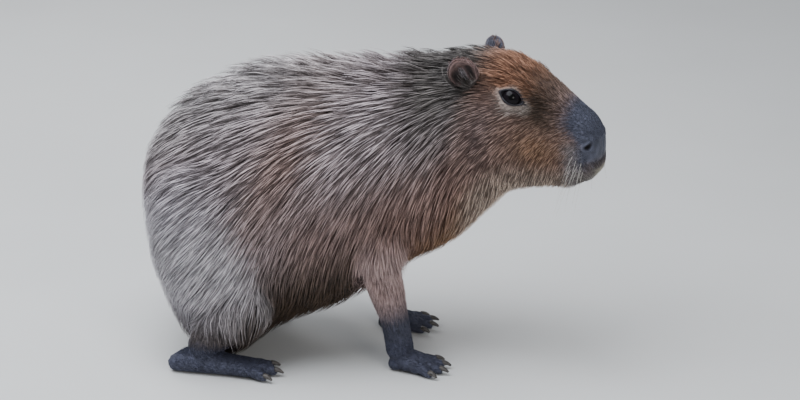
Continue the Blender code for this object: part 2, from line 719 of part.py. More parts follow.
def build():
    for obj in list(bpy.data.objects):
        bpy.data.objects.remove(obj)
    animal = bpy.data.collections.new("capybara")
    bpy.context.scene.collection.children.link(animal)
    coat = material("coarse_coat", (0.20, 0.13, 0.085), 0.75)
    short = material("short_fur", (0.24, 0.13, 0.07), 0.7)
    bare = material("bare_skin", (0.09, 0.085, 0.09), 0.6)
    wet = material("eye", (0.012, 0.010, 0.010), 0.1)
    sides = ("right", "left")

    # The guide is the whole flesh in one surface, on which the locks are laid
    guide = whole_trunk("guide", animal)
    legs = {}
    for side in sides:
        legs[f"foreleg_{side}"] = foreleg(f"foreleg_{side}", side, animal)
        legs[f"hindleg_{side}"] = hindleg(f"hindleg_{side}", side, animal)
    join(guide, [duplicate(leg, "guide_leg", animal) for leg in legs.values()], solver="EXACT")
    locks, clearings = lay_locks(guide, legs, animal)
    bpy.data.objects.remove(guide)

    nodes = {
        "head": trunk_stretch("head", None, "head", animal),
        "neck": trunk_stretch("neck", "head", "neck", animal),
        "torso": trunk_stretch("torso", "neck", "torso", animal),
        "rump": trunk_stretch("rump", "torso", None, animal),
    }
    nodes.update(legs)

    # Feet are parted from the legs by a level cut
    for side in sides:
        for limb, rows, toes, stagger, level in (
            ("fore", FORE_PALM, FORE_TOES, FORE_STAGGER, WRIST_Z),
            ("hind", HIND_PALM, HIND_TOES, HIND_STAGGER, HEEL_Z),
        ):
            leg = nodes[f"{limb}leg_{side}"]
            made = foot(f"{limb}foot_{side}", rows, toes, side, stagger[side], animal)
            nodes[f"{limb}foot_{side}"] = join(made, [duplicate(leg, "ankle", animal)])
            cut_by_plane(made, (0, 0, level - GAP / 2), (0, 0, 1))
            cut_by_plane(leg, (0, 0, level + GAP / 2), (0, 0, -1))

    # Locks are joined in, and each node is cleared of what lies over it
    over = {"neck": [], "torso": ["neck"], "rump": ["torso", "neck"]}
    for name in ("neck", "torso", "rump", *legs):
        join(nodes[name], locks.get(name, []))
    for name in ("neck", "torso", "rump"):
        cutters = [c for other in (*over[name], *legs) for c in clearings.get(other, [])]
        cutters = [duplicate(c, "clearing", animal) for c in cutters]
        for side in sides:
            cutters.append(foreleg("clearing", side, animal, GAP))
            cutters.append(hindleg("clearing", side, animal, GAP))
        if name == "rump":
            for side in sides:
                heel = limb_rings(HIND_PALM, side, HIND_STAGGER[side], GAP, 5, 10)
                cutters.append(loft("clearing", heel, animal))
        join(nodes[name], cutters, "DIFFERENCE")
    for pieces in clearings.values():
        for piece in pieces:
            bpy.data.objects.remove(piece)

    # Face
    join(nodes["head"], [lid("lid", side, animal) for side in sides] + lips(animal))
    cutters = [mouth("mouth", animal)]
    for side in sides:
        nodes[f"ear_{side}"] = ear(f"ear_{side}", side, animal)
        nodes[f"eye_{side}"] = eye(f"eye_{side}", side, animal)
        cutters.append(ear("socket", side, animal, GAP))
        cutters.append(eye("socket", side, animal, GAP))
        cutters.append(nostril("nostril", side, animal))
    join(nodes["head"], cutters, "DIFFERENCE")

    for name, obj in nodes.items():
        cut_by_plane(obj, (0, 0, FLOOR), (0, 0, -1))
        keep_largest(obj)
        kind = {"eye": wet, "ear": short, "head": short}.get(name.split("_")[0], coat)
        obj.data.materials.clear()
        obj.data.materials.append(bare if "foot" in name else kind)
        obj.data.transform(Matrix.Translation(-Vector(MIDDLE)))
    return nodes


build()
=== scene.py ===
# %% [markdown]
# # A capybara sitting on its haunches
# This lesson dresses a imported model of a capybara. The model's solids give the size and the
# place of every part. Here they get a skin without seams, a coarse coat, bare feet, wet eyes
# and the light of a small studio. Lengths are in metres, the nose points along +X and up is +Z.

import math

import bmesh
import bpy
import numpy as np
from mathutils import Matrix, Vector


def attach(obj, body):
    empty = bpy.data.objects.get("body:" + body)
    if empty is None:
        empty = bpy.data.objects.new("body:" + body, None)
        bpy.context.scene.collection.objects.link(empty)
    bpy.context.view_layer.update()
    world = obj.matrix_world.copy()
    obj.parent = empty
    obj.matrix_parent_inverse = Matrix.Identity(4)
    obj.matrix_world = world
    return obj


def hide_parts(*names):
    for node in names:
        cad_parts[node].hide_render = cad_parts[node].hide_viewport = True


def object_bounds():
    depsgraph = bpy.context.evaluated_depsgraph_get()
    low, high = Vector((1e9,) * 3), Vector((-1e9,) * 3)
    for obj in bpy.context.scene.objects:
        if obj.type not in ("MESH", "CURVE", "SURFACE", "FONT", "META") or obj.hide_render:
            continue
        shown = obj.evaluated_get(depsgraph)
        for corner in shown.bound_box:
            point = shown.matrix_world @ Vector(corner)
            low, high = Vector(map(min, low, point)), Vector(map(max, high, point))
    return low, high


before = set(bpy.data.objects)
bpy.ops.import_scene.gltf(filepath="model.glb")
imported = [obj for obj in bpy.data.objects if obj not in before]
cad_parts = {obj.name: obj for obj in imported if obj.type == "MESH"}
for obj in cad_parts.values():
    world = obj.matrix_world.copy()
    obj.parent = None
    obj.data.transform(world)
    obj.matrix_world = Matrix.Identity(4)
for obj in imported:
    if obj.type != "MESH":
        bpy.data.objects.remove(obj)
cad_box = [list(corner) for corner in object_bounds()]
print("nodes:", ", ".join(sorted(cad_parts)))
print("box in metres:", cad_box)

# %% [markdown]
# ## The numbers that the body grows from
# An animal's trunk could be sculpted, but a table of cross sections keeps it true to the
# solids: each row says how far along the trunk it lies, its top and bottom, its half width,
# how square it is, how much wider it is low down, and how deep the coat is there. The same
# rows made the solids, so skin and coat land where the solids are.

# %% Body numbers
MIDDLE = np.array([0.0, 0.0013, 0.0])
SECTIONS = np.array(
    [
        (-0.390, 0.285, 0.285, 0.000, 2.2, 0.00, 0.022),
        (-0.383, 0.340, 0.205, 0.058, 2.2, 0.05, 0.022),
        (-0.357, 0.387, 0.110, 0.104, 2.2, 0.10, 0.022),
        (-0.308, 0.436, 0.016, 0.138, 2.3, 0.15, 0.022),
        (-0.240, 0.478, -0.016, 0.156, 2.3, 0.18, 0.023),
        (-0.150, 0.504, 0.050, 0.161, 2.3, 0.18, 0.024),
        (-0.060, 0.510, 0.085, 0.155, 2.3, 0.16, 0.025),
        (0.010, 0.514, 0.122, 0.140, 2.3, 0.12, 0.025),
        (0.070, 0.524, 0.165, 0.124, 2.3, 0.08, 0.024),
        (0.120, 0.532, 0.188, 0.110, 2.3, 0.05, 0.022),
        (0.160, 0.536, 0.220, 0.100, 2.4, 0.05, 0.015),
        (0.195, 0.534, 0.270, 0.092, 2.6, 0.08, 0.006),
        (0.228, 0.527, 0.312, 0.084, 2.8, 0.08, 0.002),
        (0.262, 0.512, 0.326, 0.076, 2.9, 0.06, 0.000),
        (0.300, 0.490, 0.330, 0.065, 2.9, 0.04, 0.000),
        (0.335, 0.466, 0.328, 0.056, 2.9, 0.00, 0.000),
        (0.363, 0.446, 0.334, 0.050, 2.9, 0.00, 0.000),
        (0.378, 0.429, 0.346, 0.041, 2.8, 0.00, 0.000),
        (0.3865, 0.412, 0.363, 0.026, 2.6, 0.00, 0.000),
        (0.3905, 0.391, 0.391, 0.000, 2.4, 0.00, 0.000),
    ]
)
LAST = len(SECTIONS) - 1
HEAD_TURN, TURN_FROM, TURN_TO = math.radians(15), 0.09, 0.20
SIDES = {"right": -1, "left": 1}


def smooth_rows(table, t):
    """Row of a table at each t: a Catmull-Rom curve runs through the rows."""
    t = np.clip(np.asarray(t, float), 0, len(table) - 1 - 1e-9)
    i = np.floor(t).astype(int)
    f = (t - i)[..., None]
    p0, p1 = table[np.maximum(i - 1, 0)], table[i]
    p2, p3 = table[np.minimum(i + 1, len(table) - 1)], table[np.minimum(i + 2, len(table) - 1)]
    cubic = (3 * p1 - p0 - 3 * p2 + p3) * f**3
    return 0.5 * (2 * p1 + (p2 - p0) * f + (2 * p0 - 5 * p1 + 4 * p2 - p3) * f**2 + cubic)


def ease(low, high, x):
    """Runs from 0 at low to 1 at high along a soft S, three squares less two cubes."""
    s = np.clip((x - low) / (high - low), 0, 1)
    return s * s * (3 - 2 * s)


def hill(x, width):
    """A bell of height 1 at x = 0: e to the power of minus the square of x over the width."""
    return np.exp(-((x / width) ** 2))


def unit(v):
    """Vectors scaled to length 1."""
    return v / np.maximum(np.linalg.norm(v, axis=-1, keepdims=True), 1e-12)


def across(v, normal):
    """The part of each vector that lies in the plane square to its normal, at length 1."""
    return unit(v - normal * np.sum(v * normal, axis=-1, keepdims=True))


print(len(SECTIONS), "sections from", SECTIONS[0, 0], "to", SECTIONS[-1, 0])

# %% [markdown]
# ## The trunk as a function of two parameters
# One parameter walks along the sections and the other goes round them. The centreline bends
# to the animal's right in the neck, so the head looks a little towards the viewer. The
# outward normal comes from the two slopes, and the skin lies a coat's depth inside.

# %% Trunk surface


def centreline(along):
    """x, y and heading at a distance along the trunk: small steps are added up as it turns."""
    grid = np.linspace(-0.45, 0.45, 1801)
    heading = HEAD_TURN * ease(TURN_FROM, TURN_TO, grid)
    step = grid[1] - grid[0]
    x, y = np.cumsum(np.cos(heading)) * step, np.cumsum(-np.sin(heading)) * step
    x, y = x - x[len(grid) // 2], y - y[len(grid) // 2]
    return np.interp(along, grid, x), np.interp(along, grid, y), np.interp(along, grid, heading)


def coat_edge(t, angle):
    """A superellipse section: half width times a power of the cosine, half height of the sine."""
    row = smooth_rows(SECTIONS, t)
    along, top, bottom, half, square, sag = [row[..., k] for k in range(6)]
    c, s = np.cos(angle), np.sin(angle)
    side = half * np.sign(c) * np.abs(c) ** (2 / square) * (1 - sag * s)
    up = (top + bottom) / 2 + (top - bottom) / 2 * np.sign(s) * np.abs(s) ** (2 / square)
    x, y, heading = centreline(along)
    return np.stack([x + np.sin(heading) * side, y + np.cos(heading) * side, up], -1) - MIDDLE


def trunk_normal(t, angle):
    """Outward normal: the cross product of the slopes round and along the trunk."""
    step = 0.02
    t = np.clip(t, 0.08, LAST - 0.08)
    along = coat_edge(t + step, angle) - coat_edge(t - step, angle)
    around = coat_edge(t, angle + step) - coat_edge(t, angle - step)
    return unit(np.cross(around, along))


def station(along):
    """The t of the section that lies that far along the trunk."""
    t = np.linspace(0, LAST, 4000)
    return np.interp(along, smooth_rows(SECTIONS, t)[:, 0], t)


def feature_frame(along, degrees, side):
    """Place on the head with its three directions: ahead, up along the skin, and out."""
    angle = math.radians(degrees if side == "right" else 180 - degrees)
    t, angle = np.array([float(station(along))]), np.array([angle])
    at, out = coat_edge(t, angle)[0], trunk_normal(t, angle)[0]
    ahead = across((coat_edge(t + 0.05, angle) - at)[0], out)
    up = np.cross(out, ahead) * (1 if side == "right" else -1)
    return at, ahead, up, out


def locate(points):
    """Along, t, side and share of the height that each point has fallen below the trunk's top."""
    place = points + MIDDLE
    along = place[..., 0].copy()
    for _ in range(5):
        x, y, heading = centreline(along)
        along += (place[..., 0] - x) * np.cos(heading) - (place[..., 1] - y) * np.sin(heading)
    along = np.clip(along, SECTIONS[0, 0], SECTIONS[-1, 0])
    x, y, heading = centreline(along)
    side = (place[..., 0] - x) * np.sin(heading) + (place[..., 1] - y) * np.cos(heading)
    t = station(along)
    row = smooth_rows(SECTIONS, t)
    fall = (row[..., 1] - place[..., 2]) / np.maximum(row[..., 1] - row[..., 2], 0.05)
    return along, t, side, np.clip(fall, 0, 1), heading


# %% [markdown]
# ## The face, as height added to the head
# A sculptor would push clay up and down on the head. Here each form is a small formula in the
# frame of its feature: the lids rise over the eyeball and end in an almond, the nostrils are
# pits with a soft rim, a groove parts the lips, and the cheek swells over the jaw's muscle.

# %% Face relief
EYE_AT, EYE_ANGLE, EYE_RADIUS, EYE_SUNK = 0.2535, 148.0, 0.0175, 0.0112
ALMOND, EYE_TILT, LID_EDGE = (0.0205, 0.0118), math.radians(6), 0.0013
NOSTRIL_AT, NOSTRIL_ANGLE, NOSTRIL_SLANT = 0.377, 167.0, math.radians(50)
MOUTH_Z, MOUTH_BACK, MOUTH_FRONT, MOUTH_DROP = 0.3605, 0.338, 0.392, 0.010
FACE_FUR = 0.0014


def almond(points, side):
    """Distance from the eye's middle in lid openings: 1 on the lids' edge, pointed at both ends."""
    at, ahead, up, out = feature_frame(EYE_AT, EYE_ANGLE, side)
    a, b = (points - at) @ ahead, (points - at) @ up
    long = a * math.cos(EYE_TILT) - b * math.sin(EYE_TILT)
    high = a * math.sin(EYE_TILT) + b * math.cos(EYE_TILT)
    narrow = 1 - 0.42 * np.clip(np.abs(long) / ALMOND[0], 0, 1) ** 2
    q = np.sqrt((long / ALMOND[0]) ** 2 + (high / (ALMOND[1] * narrow)) ** 2)
    return q, long, high, (points - at) @ out, a**2 + b**2


def eye_relief(points, side):
    """Lids: the skin climbs to just over the ball at the almond's edge and dives below it inside."""
    q, long, high, rise, r2 = almond(points, side)
    near = np.sqrt(np.maximum(EYE_RADIUS**2 - np.minimum(r2, 0.0148**2), 0)) - EYE_SUNK
    edge = near + LID_EDGE
    hidden = np.maximum(near - 0.0045, -0.0035)
    target = hidden + (edge - hidden) * ease(0.86, 1.0, q)
    share = 1 - ease(1.0, 1.95, q)
    lidded = share * (target - rise)
    facing = np.abs(rise) < 0.03
    crease = -0.0009 * hill(q - 1.55, 0.12) * ease(0, 0.006, high)
    brow = 0.0030 * hill(long + 0.002, 0.022) * hill(high - 0.023, 0.009)
    pouch = 0.0012 * hill(long, 0.016) * hill(high + 0.0185, 0.005)
    return np.where(facing, lidded + crease + brow + pouch, 0)


def nostril(points, side):
    """Distance from the nostril's middle in widths of a comma: an ellipse on a curved axis."""
    at, ahead, up, out = feature_frame(NOSTRIL_AT, NOSTRIL_ANGLE, side)
    a, b = (points - at) @ ahead, (points - at) @ up
    long = a * math.cos(NOSTRIL_SLANT) + b * math.sin(NOSTRIL_SLANT)
    high = b * math.cos(NOSTRIL_SLANT) - a * math.sin(NOSTRIL_SLANT) - 30 * long**2
    q = np.sqrt((long / 0.0068) ** 2 + (high / 0.0036) ** 2)
    return np.where(np.abs((points - at) @ out) < 0.012, q, 9.0)


def nostril_relief(points, side):
    """A pit with a raised rim: a deep bell, and a low one round it."""
    q = nostril(points, side)
    return -0.0065 * np.exp(-(q**3)) + 0.0015 * hill(q - 1.8, 0.55)


def mouth_height(along):
    """Height of the line where the lips meet: it falls with the square of the way back."""
    back = (MOUTH_FRONT - along) / (MOUTH_FRONT - MOUTH_BACK)
    return MOUTH_Z - MOUTH_DROP * np.clip(back, 0, 1.3) ** 2


def face_relief(points):
    """All forms of the face added together, as height along the skin's normal."""
    along, _, side, fall, _ = locate(points)
    z = points[..., 2]
    lips = ease(MOUTH_BACK - 0.006, MOUTH_BACK + 0.010, along)
    off = z - mouth_height(along)
    groove = -0.0030 * hill(off, 0.0013) * lips
    rolls = (0.0020 * hill(off - 0.0055, 0.0040) + 0.0016 * hill(off + 0.0055, 0.0042)) * lips
    parting = -0.0016 * hill(side, 0.0013) * ease(0.380, 0.388, along) * ease(0, 0.004, off)
    cheek = 0.0035 * hill(along - 0.272, 0.040) * hill(fall - 0.66, 0.18)
    hollow = -0.0025 * hill(along - 0.330, 0.018) * hill(fall - 0.55, 0.22)
    crown = 0.0015 * hill(along - 0.232, 0.02) * hill(fall - 0.06, 0.08)
    total = groove + rolls + parting + cheek + hollow + crown
    for side_name, sign in SIDES.items():
        here = np.sign(side) == sign
        total += np.where(here, eye_relief(points, side_name), 0)
        total += np.where(here, nostril_relief(points, side_name), 0)
    return total


print("eye sits at", np.round(feature_frame(EYE_AT, EYE_ANGLE, "right")[0], 4))

# %% [markdown]
# ## A skin from grids
# The trunk's grid is not even: its lines crowd where the face is fine, at the eyes, the mouth
# and the nose, and stay apart under the long coat. `mesh_of` puts whole arrays into a mesh, and
# `closed_rings` closes each end of a stack of rings with a fan of triangles.

# %% Mesh tools


def mesh_of(name, points, triangles):
    """A mesh object from an array of points and an array of corner numbers, three to a row."""
    mesh = bpy.data.meshes.new(name)
    mesh.vertices.add(len(points))
    mesh.vertices.foreach_set("co", np.asarray(points, np.float32).ravel())
    mesh.loops.add(triangles.size)
    mesh.loops.foreach_set("vertex_index", np.asarray(triangles, np.int32).ravel())
    mesh.polygons.add(len(triangles))
    mesh.polygons.foreach_set("loop_start", np.arange(0, triangles.size, 3, dtype=np.int32))
    mesh.update(calc_edges=True)
    mesh.shade_smooth()
    made = bpy.data.objects.new(name, mesh)
    bpy.context.scene.collection.objects.link(made)
    return made


def ring_triangles(count, around):
    """Two triangles for each cell of a grid whose rows close on themselves."""
    i, j = np.meshgrid(np.arange(count - 1), np.arange(around), indexing="ij")
    k = (j + 1) % around
    near, far = i * around, (i + 1) * around
    one = np.stack([near + j, near + k, far + k], -1)
    two = np.stack([near + j, far + k, far + j], -1)
    return np.concatenate([one.reshape(-1, 3), two.reshape(-1, 3)])


def closed_rings(name, rings):
    """A closed surface: the rings' grid, and a fan from the middle of the first and last ring."""
    count, around = rings.shape[:2]
    points = np.concatenate([rings.reshape(-1, 3), rings[[0, -1]].mean(axis=1)])
    j = np.arange(around)
    k = (j + 1) % around
    first = np.stack([np.full(around, count * around), k, j], -1)
    end = (count - 1) * around
    last = np.stack([np.full(around, count * around + 1), end + j, end + k], -1)
    triangles = np.concatenate([ring_triangles(count, around), first, last])
    corners = points[triangles]
    volume = np.sum(corners[:, 0] * np.cross(corners[:, 1], corners[:, 2]))
    return mesh_of(name, points, triangles if volume > 0 else triangles[:, ::-1])


def crowded(low, high, places, count):
    """Values from low to high that crowd round places: equal shares of a sum of bells."""
    x = np.linspace(low, high, 6000)
    density = 1 + sum(weight * hill(x - middle, width) for middle, width, weight in places)
    share = np.concatenate([[0], np.cumsum((density[1:] + density[:-1]) / 2)])
    return np.interp(np.linspace(0, share[-1], count), share, x)


# %% Trunk and head skin
HEAD_FROM = 0.150
body_rows = np.linspace(0.06, float(station(HEAD_FROM)), 74)[:-1]
face_along = crowded(HEAD_FROM, 0.3946, [(EYE_AT, 0.018, 5.0), (0.380, 0.020, 5.0)], 178)
rows = np.concatenate([body_rows, station(face_along)])[:, None]
eye_angles = [(math.radians(EYE_ANGLE), 0.20, 3.0), (math.radians(180 - EYE_ANGLE), 0.20, 3.0)]
lip_angles = [(math.radians(a), 0.25, 1.2) for a in (205, 335)]
turns = crowded(0, 2 * math.pi, eye_angles + lip_angles, 253)[None, :-1]
t, angle = rows + 0 * turns, turns + 0 * rows
normal = trunk_normal(t, angle)
depth = smooth_rows(SECTIONS, t)[..., 6:7]
rings = coat_edge(t, angle) - normal * depth
head_share = ease(HEAD_FROM, 0.20, smooth_rows(SECTIONS, t)[..., 0])
bare_nose = ease(0.352, 0.372, smooth_rows(SECTIONS, t)[..., 0])
lift = head_share * face_relief(coat_edge(t, angle)) - FACE_FUR * head_share * (1 - bare_nose)
trunk_skin = closed_rings("trunk_skin", rings + normal * lift[..., None])
print("trunk skin:", len(trunk_skin.data.polygons), "triangles")

# %% [markdown]
# ## Legs and feet
# A capybara sits with its heels down and its forelegs straight. Each leg is a profile carried
# along a path. Toes are short tubes that arch and come down, joined by small webs. The pieces
# of one leg are merged by a voxel remesh, which melts their joints together as flesh does.

# %% Legs and feet
FORELEG = np.array(
    [
        (0.034, 0.074, 0.300, 0.034, 0.016),
        (0.022, 0.084, 0.245, 0.035, 0.023),
        (0.018, 0.094, 0.190, 0.0305, 0.026),
        (0.032, 0.095, 0.133, 0.0265, 0.023),
        (0.042, 0.094, 0.094, 0.0220, 0.0205),
        (0.0480, 0.092, 0.062, 0.0218, 0.0208),
        (0.0520, 0.091, 0.034, 0.0225, 0.0225),
    ]
)
FORE_STAGGER = {"right": 0.0, "left": -0.034}
THIGH_CENTRE, THIGH_SIZE, THIGH_LEAN = (-0.256, 0.102, 0.208), (0.088, 0.060, 0.138), math.radians(-20)
SHANK = np.array(
    [
        (-0.195, 0.138, 0.128, 0.034, 0.026),
        (-0.235, 0.138, 0.085, 0.032, 0.026),
        (-0.275, 0.134, 0.048, 0.0245, 0.0225),
    ]
)
HIND_STAGGER = {"right": 0.0, "left": -0.012}
FORE_PALM = np.array(
    [
        (0.048, 0.091, 0.012, 0.0130, 0.0185),
        (0.060, 0.091, 0.017, 0.0180, 0.0260),
        (0.088, 0.093, 0.0125, 0.0130, 0.0280),
    ]
)
FORE_TOES = ((-27, 0.040, 0.0082), (-8, 0.050, 0.0090), (9, 0.050, 0.0090), (28, 0.038, 0.0080))
HIND_PALM = np.array(
    [
        (-0.318, 0.128, 0.014, 0.0150, 0.0165),
        (-0.290, 0.130, 0.020, 0.0210, 0.0205),
        (-0.235, 0.134, 0.016, 0.0170, 0.0235),
        (-0.192, 0.137, 0.0125, 0.0130, 0.0290),
    ]
)
HIND_TOES = ((-20, 0.048, 0.0092), (0, 0.056, 0.0100), (20, 0.046, 0.0092))
FOOT_TURN, TOE_ROOT, TOE_SPREAD = math.radians(6), 0.012, 1.35
SOLE = 0.0004


def moved_rows(table, side, shift):
    """The leg's rows on their own side of the body, moved ahead or back with the foot."""
    placed = table.copy()
    placed[:, 0] += shift - MIDDLE[0]
    placed[:, 1] = placed[:, 1] * SIDES[side] - MIDDLE[1]
    return placed


def limb_rings(table, count, around):
    """Ellipses square to the path through the rows, with shrinking rings at both ends."""
    row = smooth_rows(table, np.linspace(0, len(table) - 1, count))
    path, fore, wide = row[:, :3], row[:, 3], row[:, 4]
    run = unit(np.gradient(path, axis=0))
    level = np.where(np.abs(run[:, :1]) > 0.8, [[0, 0, 1.0]], [[1.0, 0, 0]])
    sideways = unit(np.cross(run, level))
    deep = np.cross(sideways, run)
    out = np.array([0.8, 0.5])
    path = np.concatenate([path[0] - run[0] * wide[0] * out[:, None], path, path[-1] + run[-1] * wide[-1] * out[::-1, None]])
    size = np.concatenate([[0.45, 0.8], np.ones(count), [0.8, 0.45]])
    pad = [0, 0, *range(count), -1, -1]
    turn = np.linspace(0, 2 * math.pi, around, endpoint=False)[None, :, None]
    ellipse = np.cos(turn) * (sideways[pad] * (wide[pad] * size)[:, None])[:, None]
    return path[:, None] + ellipse + np.sin(turn) * (deep[pad] * (fore[pad] * size)[:, None])[:, None]


def tube_rings(path, radii, around=14):
    """Round rings square to a path."""
    run = unit(np.gradient(path, axis=0))
    wide = unit(np.cross(run, [0, 0, 1.0]))
    up = np.cross(wide, run)
    turn = np.linspace(0, 2 * math.pi, around, endpoint=False)[None, :, None]
    return path[:, None] + radii[:, None, None] * (np.cos(turn) * wide[:, None] + np.sin(turn) * up[:, None])


def toe_paths(table, toes, side, shift):
    """For each toe its path, radii and heading: it leaves the palm, arches and comes down."""
    palm = moved_rows(table, side, shift)[-1]
    for splay, length, radius in toes:
        heading = SIDES[side] * (FOOT_TURN + math.radians(splay))
        share = np.linspace(0, 1, 9)
        arch = 0.55 * np.sin(math.pi * np.minimum(share * 1.25, 1)) * (1 - 0.35 * share)
        knuckle = 1 + 0.10 * hill(share - 0.55, 0.13) - 0.05 * hill(share - 0.3, 0.1)
        start_y = palm[1] + SIDES[side] * math.sin(math.radians(splay)) * palm[4] * TOE_SPREAD
        x = palm[0] - TOE_ROOT + np.cos(heading) * share * length
        path = np.stack([x, start_y + np.sin(heading) * share * length, radius * (1.05 + arch) - 0.001], 1)
        yield path, radius * (1 - 0.22 * share) * knuckle, heading


def remeshed(pieces, name, voxel, rounds):
    """One closed surface from several: joined, remeshed in voxels, and smoothed a little."""
    points, triangles, start = [], [], 0
    for piece in pieces:
        co = np.zeros(len(piece.data.vertices) * 3)
        piece.data.vertices.foreach_get("co", co)
        tri = np.zeros(len(piece.data.polygons) * 3, int)
        piece.data.polygons.foreach_get("vertices", tri)
        points.append(co.reshape(-1, 3))
        triangles.append(tri.reshape(-1, 3) + start)
        start += len(points[-1])
        bpy.data.objects.remove(piece)
    whole = mesh_of(name, np.concatenate(points), np.concatenate(triangles))
    melt = whole.modifiers.new("melt", "REMESH")
    melt.mode, melt.voxel_size, melt.use_smooth_shade = "VOXEL", voxel, True
    soft = whole.modifiers.new("soft", "SMOOTH")
    soft.factor, soft.iterations = 0.5, rounds
    whole.modifiers.new("faces", "TRIANGULATE")
    return applied(whole)


def applied(obj):
    """The object with its modifiers made part of its mesh."""
    graph = bpy.context.evaluated_depsgraph_get()
    mesh = bpy.data.meshes.new_from_object(obj.evaluated_get(graph))
    obj.modifiers.clear()
    obj.data = mesh
    return obj


def flesh_of_leg(kind, side):
    """A foreleg or hindleg with its foot, as one closed surface with a flat sole."""
    fore = kind == "fore"
    shift = (FORE_STAGGER if fore else HIND_STAGGER)[side]
    palm, toes = (FORE_PALM, FORE_TOES) if fore else (HIND_PALM, HIND_TOES)
    pieces = [closed_rings("palm", limb_rings(moved_rows(palm, side, shift), 24, 32))]
    leg = FORELEG if fore else SHANK
    pieces.append(closed_rings("leg", limb_rings(moved_rows(leg, side, shift), 40, 40)))
    tips = []
    for path, radii, _ in toe_paths(palm, toes, side, shift):
        pieces.append(closed_rings("toe", tube_rings(path, radii)))
        tips.append(path)
    for one, two in zip(tips, tips[1:]):
        web = (one[:7] + two[:7]) / 2 - [0, 0, 0.0035]
        pieces.append(closed_rings("web", tube_rings(web, np.linspace(0.0060, 0.0030, 7))))
    if not fore:
        pieces.append(thigh(side, shift))
    leg = remeshed(pieces, f"{kind}leg_skin", 0.0027 if fore else 0.0040, 3)
    co = np.zeros(len(leg.data.vertices) * 3)
    leg.data.vertices.foreach_get("co", co)
    co[2::3] = np.maximum(co[2::3], SOLE)
    leg.data.vertices.foreach_set("co", co)
    return leg


def thigh(side, shift):
    """An ellipsoid that leans forward at its top."""
    u = np.linspace(0.04, math.pi - 0.04, 40)[:, None]
    v = np.linspace(0, 2 * math.pi, 56, endpoint=False)[None]
    x, y = THIGH_SIZE[0] * np.sin(u) * np.cos(v), THIGH_SIZE[1] * np.sin(u) * np.sin(v)
    z = THIGH_SIZE[2] * np.cos(u) + 0 * v
    c, s = math.cos(THIGH_LEAN), math.sin(THIGH_LEAN)
    centre = np.array(THIGH_CENTRE) * [1, SIDES[side], 1] + [shift, 0, 0] - MIDDLE
    return closed_rings("thigh", np.stack([x * c + z * s, y, z * c - x * s], -1) + centre)


legs = [flesh_of_leg(kind, side) for kind in ("fore", "hind") for side in SIDES]
print("legs:", [len(leg.data.polygons) for leg in legs], "triangles")

# %% [markdown]
# ## Ears
# The ears are small, round and thick-rimmed. A bowl turned on a lathe is close to one: a
# profile runs from the back over the rim and down into the cup. The bowl is squeezed to an
# oval, its rim folds in at the top, and a low ridge crosses the cup in front.

# %% Ears
EAR_AT, EAR_ANGLE, EAR_BACK = 0.181, 137.0, math.radians(-16)
EAR_STAND = {"right": 0.85, "left": 0.38}
EAR_OUT = {"right": math.radians(28), "left": math.radians(38)}
EAR_TURN = {"right": math.radians(20), "left": math.radians(46)}
EAR_SIZE = np.array([0.0228, 0.0120, 0.0292])
EAR_PROFILE = np.array(
    [
        (0.02, -1.00), (0.35, -0.95), (0.68, -0.76), (0.90, -0.42), (0.99, -0.05), (1.00, 0.28),
        (0.955, 0.46), (0.88, 0.42), (0.82, 0.20), (0.74, -0.12), (0.58, -0.44), (0.32, -0.62), (0.02, -0.66),
    ]
)


def turned(axis, angle):
    """Matrix of a turn about one of the three axes."""
    c, s = math.cos(angle), math.sin(angle)
    rows = {"X": [(1, 0, 0), (0, c, -s), (0, s, c)], "Y": [(c, 0, s), (0, 1, 0), (-s, 0, c)]}
    return np.array(rows.get(axis, [(c, -s, 0), (s, c, 0), (0, 0, 1)]))


def ear_frame(side):
    """The ear's middle and its three directions, as part of the solids' ears."""
    sign = -SIDES[side]
    heading = float(centreline(EAR_AT)[2])
    turn = turned("Z", -heading) @ turned("X", EAR_OUT[side] * sign) @ turned("Y", EAR_BACK)
    turn = turn @ turned("Z", EAR_TURN[side] * sign)
    foot = feature_frame(EAR_AT, EAR_ANGLE, side)[0]
    return foot + turn @ np.array([0, 0, 0.030 * EAR_STAND[side]]), turn, SIDES[side]


def ear(side):
    """A lathe profile of reach and depth, stretched to an oval cup that opens outwards."""
    centre, turn, out = ear_frame(side)
    profile = smooth_rows(EAR_PROFILE, np.linspace(0, len(EAR_PROFILE) - 1, 44))
    v = np.linspace(0, 2 * math.pi, 60, endpoint=False)[None]
    reach, deep = profile[:, :1], profile[:, 1:]
    inner = np.linspace(0, 1, len(profile))[:, None] > 0.5
    fold = -0.30 * hill(v - math.pi / 2, 0.7) * ease(0.6, 1.0, reach)
    ridge = np.where(inner, 0.30 * hill(np.cos(v) - 0.55, 0.35) * hill(reach - 0.62, 0.2), 0)
    notch = -0.35 * hill(v - 5.2, 0.35) * ease(0.75, 1.0, reach)
    x, z = reach * np.cos(v), reach * np.sin(v) * (1 - 0.06 * np.sin(v))
    y = out * (deep + 0 * v + fold + ridge + notch)
    local = np.stack([x * EAR_SIZE[0], y * EAR_SIZE[1], z * EAR_SIZE[2]], -1)
    return closed_rings("ear_skin", centre + local @ turn.T)


ears = [ear(side) for side in SIDES]
print("ears:", [len(piece.data.polygons) for piece in ears], "triangles")

# %% [markdown]
# ## One skin
# Boolean union turns the trunk, the legs and the ears into a single closed surface, so that no
# seam shows. Where two forms meet, the fold is too sharp for flesh. A few rounds of moving each
# point to the mean of its neighbours soften it, only near those folds.

